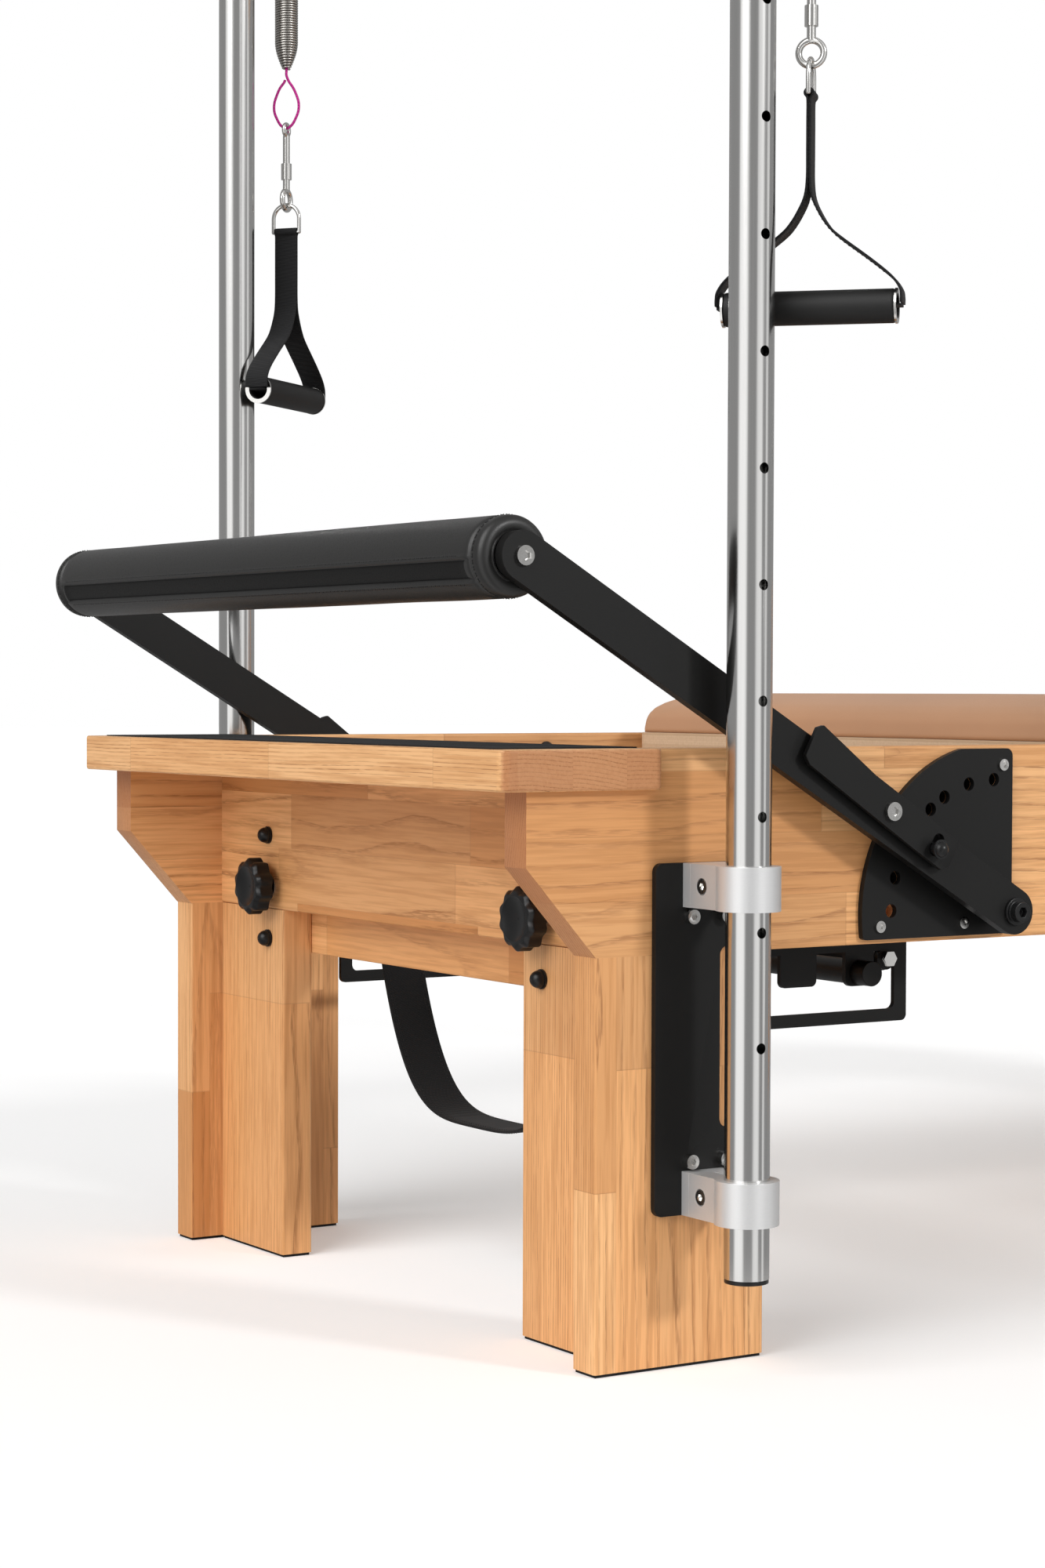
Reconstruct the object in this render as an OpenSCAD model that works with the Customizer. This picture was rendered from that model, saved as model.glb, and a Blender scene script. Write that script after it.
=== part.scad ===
// Trapeze table with a sliding carriage: an oak bed frame on four L-shaped legs, a steel tower on
// four posts, a hinged footbar, a spring-drawn carriage, hanging spring handles, a sliding trapeze
// and a push-through bar. Lengths are in millimetres. X runs from the foot end to the head end,
// Y across the bed, Z up, with the origin on the floor under the middle of the bed.

/* [Frame] */
// Length from the front of the standing platform to the head end of the rails
frame_l = 2390; // [2200:10:2600]
// Width over the outer faces of the side rails
frame_w = 826; // [760:2:860]
// Height of the platform and of the tops of the rails
deck_h = 550; // [540:2:580]
// Thickness of every frame board
board_t = 35; // [32:1:38]
// Height of the side rails
rail_h = 182; // [174:1:186]
// Width of a leg's side board, along the bed
leg_side_w = 183; // [160:1:200]
// Width of a leg's front board, across the bed
leg_front_w = 142; // [130:1:160]
// Distance from the platform's front to the leg's side board
leg_front_x = 105; // [100:1:112]
// Distance from the platform's front to the faces of the end rail and leg front boards
end_face_x = 142; // [138:1:150]
// Distance from the platform's front to the front of the cheeks
cheek_x = 33; // [20:1:45]
// Height of the cheek's upright front, under the platform
cheek_h = 66; // [54:1:84]
// Height of the lower cross rails
lower_rail_h = 90; // [70:1:100]
// Drop of the lower cross rail below the side rail
lower_rail_drop = 47; // [40:1:55]
// Thickness of the rubber pads under the legs
foot_pad_t = 3; // [2:0.5:5]
// Radius of the eased long edges of the boards
ease_r = 2.5; // [1:0.5:4]

/* [Platform] */
// Depth of the standing platform
platform_l = 169; // [160:1:176]
// Thickness of the platform
platform_t = 36; // [30:1:40]
// Overhang of the platform past each side rail
platform_over = 13; // [5:1:18]
// Thickness of the grip tape
tape_t = 1.2; // [0.8:0.1:2]

/* [Tower] */
// Outer diameter of posts and canopy tubes
post_d = 40; // [36:0.5:42]
// Wall of posts and canopy tubes
post_wall = 2; // [1.5:0.25:3]
// Distance from the platform's front to the axes of the foot posts
post_x = 215; // [210:1:220]
// Distance of the post axes outboard of the side rails
post_out = 73; // [70:1:76]
// How far the posts reach below the mounting plates
post_drop = 47; // [37:1:57]
// Height of the axes of the canopy tubes
canopy_h = 2120; // [2040:10:2160]
// Diameter of the row of holes down each post
post_hole_d = 9.5; // [8:0.5:11]
// Spacing of the holes
hole_pitch = 100; // [90:1:110]
// Height of the lowest hole
first_hole_z = 292; // [285:1:300]

/* [Post clamps] */
// Width of a mounting plate
plate_w = 110; // [100:1:120]
// Height of a mounting plate
plate_h = 312; // [300:1:320]
// Thickness of the mounting and sector plates
plate_t = 6; // [5:0.5:8]
// How far a mounting plate reaches below the side rail
plate_drop = 231; // [228:1:238]
// Height of a clamp
clamp_h = 39; // [35:1:42]
// Outer diameter of a clamp's ring
clamp_d = 57; // [52:1:60]
// Width of a clamp's stem
clamp_w = 44; // [40:1:48]
// Thickness of the clamp's base block
clamp_base_t = 11; // [9:0.5:13]

/* [Footbar] */
// Distance from the platform's front to the footbar's pivot
pivot_x = 551; // [545:1:560]
// Height of the pivot above the lower edge of the side rail
pivot_up = 27; // [25:1:29]
// Length of an arm between its two bolts
arm_l = 631.7; // [615:0.1:645]
// Angle of the arms above the bed, seen from the head end's horizon
arm_angle = 149.7; // [149:0.1:150.5]
// Width of an arm
arm_w = 43; // [40:1:46]
// Thickness of an arm
arm_t = 11; // [9:0.5:12]
// Gap from the side rail to the arm
arm_out = 27; // [26:0.5:29]
// Radius of the padded roll
roll_r = 36; // [33:0.5:38]
// Radius of the arc of lock holes
lock_r = 122.7; // [120:0.1:125]
// Diameter of a lock pin
lock_pin_d = 11; // [9:0.5:11.5]
// Diameter of the holes for a lock pin
lock_hole_d = 12.6; // [12.4:0.1:13.5]
// Outer radius of the sector plates
sector_r = 157; // [154:0.5:159]

/* [Carriage] */
// Distance from the platform's front to the carriage at rest
carriage_x = 684; // [680:1:700]
// Length of the carriage board past the main pad
board_tail = 156; // [146:1:170]
// Thickness of the plywood board
ply_t = 24; // [20:1:26]
// Length of the main pad
pad_l = 560; // [540:1:566]
// Thickness of the pads at their crown
pad_t = 46; // [40:1:50]
// Gap between the carriage and each side rail
carriage_gap = 7; // [5:0.5:9]
// Radius of the carriage wheels
wheel_r = 24; // [22:0.5:26]
// Width of the carriage wheels
wheel_w = 18; // [16:1:20]
// Length of the headrest
headrest_l = 280; // [250:1:300]
// Width of the headrest
headrest_w = 230; // [200:1:240]
// Height of the shoulder rests above the board
shoulder_h = 185; // [160:1:200]
// Room between the carriage's last stops and the head end rail
head_room = 151; // [141:10:251]
// Diameter of the spring bar
spring_bar_d = 24; // [20:1:26]
// How far the spring bar's axis lies below the side rails
spring_bar_drop = 38; // [36:1:42]

/* [Handles] */
// Distance from the platform's front to the hanging handles
hang_x = 278; // [276:1:290]
// Height of the grips
grip_z = 935; // [925:1:945]
// Length of a grip
grip_l = 150; // [140:1:154]
// Outer diameter of a grip
grip_d = 30; // [26:1:31]
// Outer diameter of the hanging springs
spring_d = 27; // [24:0.5:28]
// Wire of the hanging springs
spring_wire = 2.6; // [2.2:0.1:3]
// Width of the handle webbing
webbing_w = 27; // [24:0.5:28]
// Turn of the near handle about the vertical
near_turn = 46; // [44:1:50]
// Turn of the far handle about the vertical
far_turn = 38; // [37:1:45]

/* [Trapeze and push-through bar] */
// Diameter of the sliding cross bar and the push-through bar
bar_d = 32; // [28:1:34]
// Distance from the platform's front to the sliding cross bar
slider_x = 1180; // [1000:10:1400]
// Height of the trapeze bar
trapeze_z = 1620; // [1500:10:1700]
// Length of the trapeze bar
trapeze_w = 620; // [560:10:660]
// Height of the pivots of the push-through bar
push_z = 1500; // [1480:1:1530]
// Length of the arms of the push-through bar
push_l = 540; // [500:10:560]

/* [Hidden] */
$fn = 64;
// Clearances
seat = 0.05;   // radius between a fixed shank and its hole
running = 0.06; // radius between a turning part and its pin
ease = 0.3;    // gap between soft or moving neighbours
// Frame
x_mid = (frame_l - 30) / 2;
half_w = frame_w / 2;
inner_w = frame_w - 2 * board_t;
rail_z = deck_h - rail_h;
platform_z = deck_h - platform_t;
lower_rail_z = rail_z - lower_rail_drop;
cheek_low_z = platform_z - cheek_h;
platform_corner_r = 10;
end_back_x = end_face_x + board_t;
tape_inset = [12, 20, 90];
// Fasteners on the end rails: distance in from the outer face, and heights
knob_in = 147;
knob_z = rail_z + 24.5;
knob_face_x = 113;
knob_r = 30;
dome_in = 144;
dome_r = 9.2;
dome_upper_z = rail_z + 78;
dome_lower_z = rail_z - 31.5;
// Tower
plate_z = rail_z - plate_drop;
post_base = plate_z - post_drop;
tube_in_r = post_d / 2 - post_wall;
post_y = half_w + post_out;
post_cap_t = 4;
fitting_l = 50;
fitting_d = post_d + 10;
post_top = canopy_h - post_d / 2 - 3;
hole_rows = floor((post_top - fitting_l - first_hole_z) / hole_pitch);
clamp_zs = [plate_z + clamp_h / 2, plate_z + plate_h - clamp_h / 2];
plate_x = post_x - 51;
window = [28, 162, 8];
window_x = plate_x + 70;
window_z = plate_z + 75;
plate_screw_xs = [plate_x + 36, plate_x + 73];
plate_screw_zs = [plate_z + 47.5, plate_z + plate_h - 47.5];
plate_screw_d = 13;
clamp_bolt_out = 34;
// Footbar
pivot_z = rail_z + pivot_up;
sector_w = 181;
sector_x = pivot_x + 23.5 - sector_w;
sector_z = rail_z + 4;
sector_h = 175;
sector_screws = [[11, 136.6], [-136.4, -11], [-36.2, -11]];
lock_angles = [178.6, 164.1, arm_angle, 128.5, 119.2, 104.3, 89.8];
lock_depth = 9;
pin_travel = 7;
pivot_d = 12;
roll_out = 25;
core_d = 38;
lever_at = 184;
lever_off = 5;
lever_w = 36;
lever_l = 196;
lever_t = 5;
lever_swing = 8;
boss_t = 5;
lever_out = arm_out + arm_t + boss_t;
pin_gap = 0.5;
// Carriage
carriage_l = pad_l + board_tail;
board_top = deck_h + 1;
ply_z = board_top - ply_t;
carriage_w = inner_w - 2 * carriage_gap;
track_z = ply_z - 30 - wheel_r - 3;
track_w = 32;
track_h = 18;
track_t = 3;
track_x = 232;
wheel_z = track_z + wheel_r + ease;
wheel_xs = [carriage_x + 90, carriage_x + carriage_l - 90];
wheel_y = inner_w / 2 - 20;
axle_d = 10;
stop_l = 25;
stop_gap = 3;
travel = frame_l - end_back_x - head_room - stop_l - stop_gap - wheel_r - wheel_xs[1];
spring_bar_x = 480;
spring_bar_z = rail_z - spring_bar_drop;
spring_ys = [-160, -80, 0, 80, 160];
anchor_x = carriage_x + 330;
anchor_z = ply_z - 135;
anchor_d = 14;
anchor_half = 185;
bracket_in = 105;
bracket_x = 249;
bracket_l = 289;
bracket_z = rail_z - 87;
bracket_window_z = rail_z - 18;
bracket_t = 5;
shelf_z = rail_z + 30;
flange_h = 28;
stay_d = 24;
stay_x = spring_bar_x + 33;
stay_z = spring_bar_z + 12;
shoulder_x = carriage_x + pad_l + 58;
shoulder_y = 185;
shoulder_w = 112;
shoulder_plate = 80;
headrest_x = carriage_x + pad_l + 12;
headrest_t = 14;
headrest_pin_d = 6;
headrest_pin_x = headrest_x + headrest_t / 2;
// Strap under the foot end
strap_w = 50;
strap_t = 3;
strap_x = 234;
strap_half = 194;
strap_low = lower_rail_z - 160;
strap_drop = 172;
strap_power = 3.8;
// Handles
eye_r = 11;
eye_wire = 6;
eye_z = canopy_h - post_d / 2 - eye_r - eye_wire / 2;
spring_low = 1303;
spring_top = eye_z - eye_r - eye_wire / 2 - ease;
curls = 40;
cord_d = 3;
link_wire = 5;
link_eye_z = 1235;
link_eye_r = 6.5;
hook_wire = 6;
hook_r = 11;
hook_z = 1156;
dee_wire = 4.5;
dee_r = 15.75;
dee_z = hook_z - hook_r + (hook_wire + dee_wire) / 2 + ease - dee_r;
dee_bar_z = dee_z - 15;
strap_fold = 2.2;
grip_bore = 19;
strap_reach = grip_l / 2 + 6;

// Colours, as the photograph shows them
oak = [0.84, 0.62, 0.38];
pale_ply = [0.88, 0.76, 0.58];
steel = [0.72, 0.72, 0.72];
aluminium = [0.80, 0.81, 0.82];
black = [0.10, 0.10, 0.10];
vinyl_black = [0.16, 0.16, 0.15];
tan = [0.74, 0.50, 0.33];
magenta = [0.62, 0.13, 0.45];

// Puts a piece drawn from the platform's front into the bed's own frame
module place() translate([-x_mid, 0, 0]) children();

// Draws what stands on the far side, and its twin on the near side
module both_sides() {
    children();
    mirror([0, 1, 0]) children();
}

// Draws what stands at the foot end, and its twin at the head end
module both_ends() {
    children();
    translate([frame_l, 0, 0]) mirror([1, 0, 0]) children();
}

// Round bar along X
module rod_x(x0, x1, y, z, d) translate([x0, y, z]) rotate([0, 90, 0]) cylinder(h = x1 - x0, d = d);

// Round bar along Y
module rod_y(y0, y1, x, z, d) translate([x, y0, z]) rotate([-90, 0, 0]) cylinder(h = y1 - y0, d = d);

// Box from its lowest corner
module box(x, y, z, size) translate([x, y, z]) cube(size);

// Rectangle with round corners, from its lowest corner
module soft_rect(w, h, r) {
    translate([r, 0]) square([w - 2 * r, h]);
    translate([0, r]) square([w, h - 2 * r]);
    for (x = [r, w - r], y = [r, h - r]) translate([x, y]) circle(r = r, $fn = 32);
}

// Lays an outline drawn in X and Z on a face at y, as thick as t outward along Y
module upright(y, t) translate([0, y + t, 0]) rotate([90, 0, 0]) linear_extrude(t) children();

// Board along X with eased long edges
module board_x(x, y, z, l, w, h)
    translate([x, y, z]) rotate([90, 0, 90]) linear_extrude(l) soft_rect(w, h, ease_r);

// Board along Y with eased long edges
module board_y(x, y, z, l, w, h)
    translate([x, y + w, z]) rotate([90, 0, 0]) linear_extrude(w) soft_rect(l, h, ease_r);

// Upright board with eased corners
module board_z(x, y, z, l, w, h) translate([x, y, z]) linear_extrude(h) soft_rect(l, w, ease_r);

// Frame of oak

// A rail seen from the side, with its cheek under the platform
module rail_outline() {
    polygon([[cheek_x, cheek_low_z], [cheek_x, platform_z], [platform_l, platform_z],
        [platform_l, deck_h], [frame_l, deck_h], [frame_l, rail_z], [leg_front_x, rail_z]]);
}

module side_rails() place() color(oak) both_sides() difference() {
    intersection() {
        upright(half_w - board_t, board_t) rail_outline();
        board_x(0, half_w - board_t, 0, frame_l, board_t, deck_h);
    }
    rod_y(half_w - board_t - 1, half_w + 1, pivot_x, pivot_z, pivot_d + 2 * seat);
    for (p = sector_screws)
        rod_y(half_w - board_t - 1, half_w + 1, pivot_x + p[0], pivot_z + p[1], 6 + 2 * seat);
    for (a = lock_angles) rod_y(half_w - lock_depth, half_w + 1, pivot_x + lock_r * cos(a),
        pivot_z + lock_r * sin(a), lock_hole_d);
    both_ends() for (x = plate_screw_xs)
        rod_y(half_w - 20, half_w + 1, x, plate_screw_zs[1], 8 + 2 * seat);
}

// Bore for a knob's stud, through whatever board stands there
module stud_hole(side) rod_x(end_face_x - 2, end_back_x + board_t, side * (half_w - knob_in), knob_z,
    10 + 2 * ease);

// At each end an end rail, level with the side rails, and a lower rail behind the legs
module cross_rails() place() color(oak) difference() {
    union() {
        board_y(end_face_x, -inner_w / 2, rail_z, board_t, inner_w, platform_z - rail_z);
        board_y(frame_l - end_back_x, -inner_w / 2, rail_z, board_t, inner_w, rail_h);
        both_ends() board_y(end_back_x + seat, -inner_w / 2, lower_rail_z, board_t, inner_w,
            lower_rail_h);
    }
    for (s = [-1, 1]) {
        stud_hole(s);
        both_ends() rod_x(end_face_x - 1, end_face_x + 16, s * (half_w - dome_in), dome_upper_z,
            8 + 2 * seat);
    }
}

module legs() place() color(oak) both_ends() both_sides() difference() {
    union() {
        board_z(leg_front_x, half_w - board_t, foot_pad_t, leg_side_w, board_t,
            rail_z - foot_pad_t);
        translate([0, -leg_front_w, 0]) board_z(end_face_x, half_w - board_t, foot_pad_t, board_t,
            leg_front_w, rail_z - foot_pad_t);
    }
    for (x = plate_screw_xs) rod_y(half_w - 20, half_w + 1, x, plate_screw_zs[0], 8 + 2 * seat);
    rod_x(end_face_x - 1, end_face_x + 16, half_w - dome_in, dome_lower_z, 8 + 2 * seat);
}

module foot_pads() place() color(black) both_ends() both_sides() {
    box(leg_front_x + 2, half_w - board_t + 2, 0, [leg_side_w - 4, board_t - 4, foot_pad_t]);
    box(end_face_x + 2, half_w - board_t - leg_front_w + 2, 0,
        [board_t - 4, leg_front_w - 4, foot_pad_t]);
}

module standing_platform() place() color(oak) intersection() {
    board_y(0, -half_w - platform_over, platform_z, platform_l, frame_w + 2 * platform_over,
        platform_t);
    translate([0, -half_w - platform_over, 0]) linear_extrude(deck_h)
        soft_rect(platform_l, frame_w + 2 * platform_over, platform_corner_r);
}

module grip_tape() place() color(black) {
    box(tape_inset[0], -half_w + tape_inset[1], deck_h,
        [platform_l - tape_inset[0] - 8, frame_w - 2 * tape_inset[1], tape_t]);
}

// Posts, plates and clamps

module post_plates() place() color(black) both_ends() both_sides() difference() {
    upright(half_w, plate_t) translate([plate_x, plate_z]) difference() {
        soft_rect(plate_w, plate_h, 8);
        translate([window_x - plate_x, window_z - plate_z])
            soft_rect(window[0], window[1], window[2]);
    }
    for (x = plate_screw_xs, z = plate_screw_zs) rod_y(half_w - 1, half_w + plate_t + 1, x, z, 9);
}

// One clamp: a base block on the plate and a split ring round the post, in the post's own frame
module clamp_ring() difference() {
    union() {
        cylinder(h = clamp_h, d = clamp_d, center = true);
        translate([-clamp_w / 2, -post_out + plate_t + clamp_base_t, -clamp_h / 2])
            cube([clamp_w, post_out - plate_t - clamp_base_t - 18, clamp_h]);
    }
    cylinder(h = clamp_h + 2, r = post_d / 2 + seat, center = true);
    translate([-1.25, -post_out + plate_t + clamp_base_t + 9, -clamp_h])
        cube([2.5, post_out - plate_t - clamp_base_t - 9, 2 * clamp_h]);
    translate([-clamp_w / 2 - 1, -post_out + clamp_bolt_out, 0]) rotate([0, 90, 0])
        cylinder(h = clamp_w + 2, d = 8 + 2 * seat);
    translate([-clamp_w / 2 - 1, -post_out + clamp_bolt_out, 0]) rotate([0, 90, 0])
        cylinder(h = 6, d = 15);
}

module clamp_at(z) translate([post_x, post_y, z]) {
    clamp_ring();
    translate([-clamp_w / 2, -post_out + plate_t, -clamp_h / 2])
        cube([clamp_w, clamp_base_t - seat, clamp_h]);
}

// Ring on a head post that carries a pivot of the push-through bar
module pivot_collar() translate([frame_l - post_x, post_y, push_z]) {
    difference() {
        cylinder(h = clamp_h, d = clamp_d, center = true);
        cylinder(h = clamp_h + 2, r = post_d / 2 + seat, center = true);
    }
    translate([0, -20.5, 0]) rotate([90, 0, 0]) cylinder(h = 14, d = 26);
    translate([0, -34.5, 0]) rotate([90, 0, 0]) cylinder(h = 26, d = 16);
    translate([0, -60.5, 0]) rotate([90, 0, 0]) cylinder(h = 4, d = 22);
}

module post_clamps() place() color(aluminium) both_sides() {
    both_ends() for (z = clamp_zs) clamp_at(z);
    pivot_collar();
}

// Cap screw with its head outward along +Y and a socket in it
module cap_screw(head_d, head_h, shank_d, shank_l) rotate([-90, 0, 0]) {
    difference() {
        cylinder(h = head_h, d = head_d);
        translate([0, 0, head_h / 2]) cylinder(h = head_h, d = head_d * 0.5, $fn = 6);
    }
    translate([0, 0, -shank_l]) cylinder(h = shank_l, d = shank_d);
}

module steel_screws() place() color(steel) {
    both_sides() {
        both_ends() {
            for (x = plate_screw_xs, z = plate_screw_zs)
                translate([x, half_w + plate_t, z]) cap_screw(plate_screw_d, 8, 8, 22);
            for (z = clamp_zs) translate([post_x - clamp_w / 2 + 5, half_w + clamp_bolt_out, z])
                rotate([0, 0, 90]) cap_screw(13, 5, 8, clamp_w - 6);
        }
        for (p = sector_screws)
            translate([pivot_x + p[0], half_w + plate_t, pivot_z + p[1]])
                cap_screw(11, 2.5, 6, board_t + plate_t + 2);
    }
    for (s = [-1, 1]) difference() {
        rod_x(end_face_x - 1.5, end_face_x, s * (half_w - knob_in), knob_z, 27);
        stud_hole(s);
    }
    both_sides() translate([stay_x, half_w - bracket_in, stay_z]) rotate([-90, 0, 0]) {
        cylinder(h = 7, d = 16, $fn = 6);
        translate([0, 0, -bracket_t - 20]) cylinder(h = bracket_t + 20, d = 8);
    }
}

// Tube with its row of holes through the outboard wall
module post_tube() difference() {
    cylinder(h = post_top - post_base, d = post_d);
    translate([0, 0, -1]) cylinder(h = post_top - post_base + 2, r = tube_in_r);
    for (k = [0:hole_rows]) translate([0, 0, first_hole_z - post_base + k * hole_pitch])
        rotate([-90, 0, 0]) cylinder(h = post_d, d = post_hole_d, $fn = 24);
}

module posts() place() color(steel) both_ends() both_sides()
    translate([post_x, post_y, post_base]) post_tube();

module post_caps() place() color(black) both_ends() both_sides()
    translate([post_x, post_y, post_base - post_cap_t]) {
        cylinder(h = post_cap_t, r = post_d / 2 - 0.5);
        cylinder(h = post_cap_t + 12, r = tube_in_r - seat);
    }

module canopy_tubes() place() color(steel) {
    gap = post_d / 2 + 3;
    both_sides() difference() {
        rod_x(post_x + gap, frame_l - post_x - gap, post_y, canopy_h, post_d);
        rod_x(post_x + gap - 1, frame_l - post_x - gap + 1, post_y, canopy_h, 2 * tube_in_r);
        translate([hang_x, post_y, canopy_h - post_d])
            cylinder(h = 2 * post_d, d = eye_wire + 2 * seat);
    }
    both_ends() difference() {
        rod_y(-post_y + gap, post_y - gap, post_x, canopy_h, post_d);
        rod_y(-post_y, post_y, post_x, canopy_h, 2 * tube_in_r);
    }
}

// Three sleeves that meet at a ball, on each corner of the canopy
module corner_fittings() place() color(aluminium) both_ends() both_sides()
    translate([post_x, post_y, canopy_h]) difference() {
        union() {
            sphere(d = fitting_d);
            rotate([0, 90, 0]) cylinder(h = fitting_l, d = fitting_d);
            rotate([90, 0, 0]) cylinder(h = fitting_l, d = fitting_d);
            translate([0, 0, -fitting_l]) cylinder(h = fitting_l, d = fitting_d);
        }
        for (turn = [[0, 90, 0], [90, 0, 0], [180, 0, 0]]) rotate(turn)
            translate([0, 0, post_d / 2 + 3]) cylinder(h = fitting_l, r = post_d / 2 + seat);
    }

// Footbar and its locks

module sector_plates() place() color(black) both_sides() difference() {
    upright(half_w, plate_t) intersection() {
        translate([pivot_x, pivot_z]) circle(r = sector_r, $fn = 96);
        translate([sector_x, sector_z]) soft_rect(sector_w, sector_h, 7);
    }
    for (a = lock_angles) rod_y(half_w - 1, half_w + plate_t + 1, pivot_x + lock_r * cos(a),
        pivot_z + lock_r * sin(a), lock_hole_d);
    for (p = sector_screws)
        rod_y(half_w - 1, half_w + plate_t + 1, pivot_x + p[0], pivot_z + p[1], 6.4);
    rod_y(half_w - 1, half_w + plate_t + 1, pivot_x, pivot_z, pivot_d + 2 * seat);
}

// Domed nut whose flat side is at the origin and whose dome looks along +Z
module dome_nut() {
    cylinder(h = 2, r = dome_r);
    translate([0, 0, 2]) cylinder(h = 3, r = dome_r - 1);
    intersection() {
        translate([0, 0, 4]) sphere(r = dome_r - 1);
        translate([0, 0, 5]) cylinder(h = dome_r, r = dome_r);
    }
}

module cap_nuts() place() color(black) {
    both_ends() for (s = [-1, 1], z = [dome_lower_z, dome_upper_z])
        translate([end_face_x, s * (half_w - dome_in), z]) {
            rotate([0, -90, 0]) dome_nut();
            rotate([0, 90, 0]) cylinder(h = 15, d = 8);
        }
    both_sides() for (p = sector_screws)
        translate([pivot_x + p[0], half_w - board_t, pivot_z + p[1]]) rotate([90, 0, 0])
            difference() {
                dome_nut();
                translate([0, 0, -1]) cylinder(h = 4, d = 6 + 2 * seat);
            }
}

// Shoulder bolts that carry the arms: nut inside, shoulder between plate and arm, head outside
module pivot_bolts() place() color(black) both_sides() difference() {
    union() {
        rod_y(half_w - board_t, half_w + lever_out, pivot_x, pivot_z, pivot_d);
        rod_y(half_w - board_t - 8, half_w - board_t, pivot_x, pivot_z, 22);
        rod_y(half_w + plate_t, half_w + arm_out - ease, pivot_x, pivot_z, 28);
        rod_y(half_w + arm_out + arm_t + ease, half_w + arm_out + arm_t + 3, pivot_x, pivot_z, 26);
        rod_y(half_w + arm_out + arm_t + 3, half_w + arm_out + arm_t + 11, pivot_x, pivot_z, 19);
    }
    translate([pivot_x, half_w + arm_out + arm_t + 5, pivot_z]) rotate([-90, 0, 0])
        cylinder(h = 9, d = 10, $fn = 6);
}

// Frame of an arm: origin at the pivot, first axis along the arm, outboard along +Y
module on_arm() translate([pivot_x, half_w, pivot_z]) rotate([0, -arm_angle, 0]) children();

module footbar_arms() place() color(black) both_sides() on_arm() difference() {
    translate([0, arm_out + arm_t, 0]) rotate([90, 0, 0]) linear_extrude(arm_t) {
        circle(d = arm_w);
        translate([0, -arm_w / 2]) square([arm_l, arm_w]);
        translate([arm_l, 0]) circle(d = arm_w);
    }
    rod_y(0, lever_out, 0, 0, pivot_d + 2 * running);
    rod_y(0, lever_out, lock_r, 0, lock_pin_d + 2 * running);
    rod_y(0, lever_out, arm_l, 0, 10 + 2 * seat);
    rod_y(0, lever_out, lever_at, -lever_off, 8 + 2 * seat);
}

module on_roll() translate([pivot_x, 0, pivot_z]) rotate([0, -arm_angle, 0])
    translate([arm_l, 0, 0]) children();

module footbar_core() place() color(steel) on_roll() difference() {
    rod_y(-half_w - arm_out, half_w + arm_out, 0, 0, core_d);
    rod_y(-half_w - arm_out + 30, half_w + arm_out - 30, 0, 0, core_d - 5);
    rod_y(-half_w - arm_out - 1, half_w + arm_out + 1, 0, 0, 10 + 2 * seat);
}

// Padded roll: round, with rounded ends, and a seam strip along its lower rear side
module footbar_roll() place() color(vinyl_black) on_roll() {
    end_r = 9;
    l = half_w + roll_out;
    difference() {
        rotate([-90, 0, 0]) rotate_extrude($fn = 72) {
            difference() {
                translate([0, -l]) square([roll_r, 2 * l]);
                translate([-1, -l - 1]) square([core_d / 2 + ease + 1, 2 * l + 2]);
                for (s = [-1, 1]) translate([roll_r - end_r, s * (l - end_r)]) difference() {
                    translate([0, s > 0 ? 0 : -end_r - 1]) square([end_r + 1, end_r + 1]);
                    circle(r = end_r, $fn = 32);
                }
            }
        }
        for (a = [-34, -67]) rotate([0, a, 0]) translate([roll_r + 0.6, 0, 0])
            cube([3, 2 * l - 50, 2.4], center = true);
    }
}

module footbar_bolts() place() color(steel) both_sides() on_arm() {
    for (at = [[arm_l, 0, 17, 10, arm_out + arm_t, 30], [lever_at, -lever_off, 17, 8, lever_out
        + lever_t + ease, boss_t + lever_t + ease + 8]])
        translate([at[0], at[4], at[1]]) cap_screw(at[2], 3.6, at[3], at[5]);
    translate([0, 0, -lever_off]) difference() {
        rod_y(arm_out + arm_t, lever_out - ease, lever_at, 0, 15);
        rod_y(arm_out + arm_t - 1, lever_out, lever_at, 0, 8 - 0.01);
    }
}

// Lever's outline about its bolt: first axis along the arm, second away from its upper edge
lever_outline = [[-84, 12], [-78, 18], [-40, 17], [103, 10], [111, 5], [112, -23], [107, -28],
    [33, -19], [-34, -17], [-84, -14]];

// Outline of a curved slot about the origin, from an angle on through a swing, with round ends
function slot_outline(r, w, from, swing) = [for (end = [1, 0], t = [0:15:180])
    let (a = from + end * swing, b = a + t + 180 * (1 - end))
        r * [cos(a), sin(a)] + w / 2 * [cos(b), sin(b)]];

// Plate lever that turns on the arm, with a curved slot for the lock pin
module lock_lever() on_arm() translate([lever_at, lever_out, -lever_off]) difference() {
    upright(0, lever_t) polygon(lever_outline);
    rod_y(-1, lever_t + 1, 0, 0, 8 + 2 * running);
    upright(-1, lever_t + 2) polygon(slot_outline(norm([lever_at - lock_r, lever_off]),
        lock_pin_d + 2, 180 - atan2(lever_off, lever_at - lock_r), lever_swing));
}

// Lock pin: tip just clear of the sector plate, collar and dome outside the lever
module lock_pin() on_arm() translate([lock_r, 0, 0]) {
    collar = lever_out + lever_t + pin_travel + ease;
    rod_y(plate_t + pin_gap, collar, 0, 0, lock_pin_d);
    rod_y(collar, collar + 2, 0, 0, 18);
    intersection() {
        translate([0, collar, 0]) sphere(d = 15);
        rod_y(collar, collar + 12, 0, 0, 15);
    }
}

module lock_lever_far() place() color(black) lock_lever();
module lock_lever_near() place() color(black) mirror([0, 1, 0]) lock_lever();
module lock_pin_far() place() color(black) lock_pin();
module lock_pin_near() place() color(black) mirror([0, 1, 0]) lock_pin();

// Star knobs on the foot end rail

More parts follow.
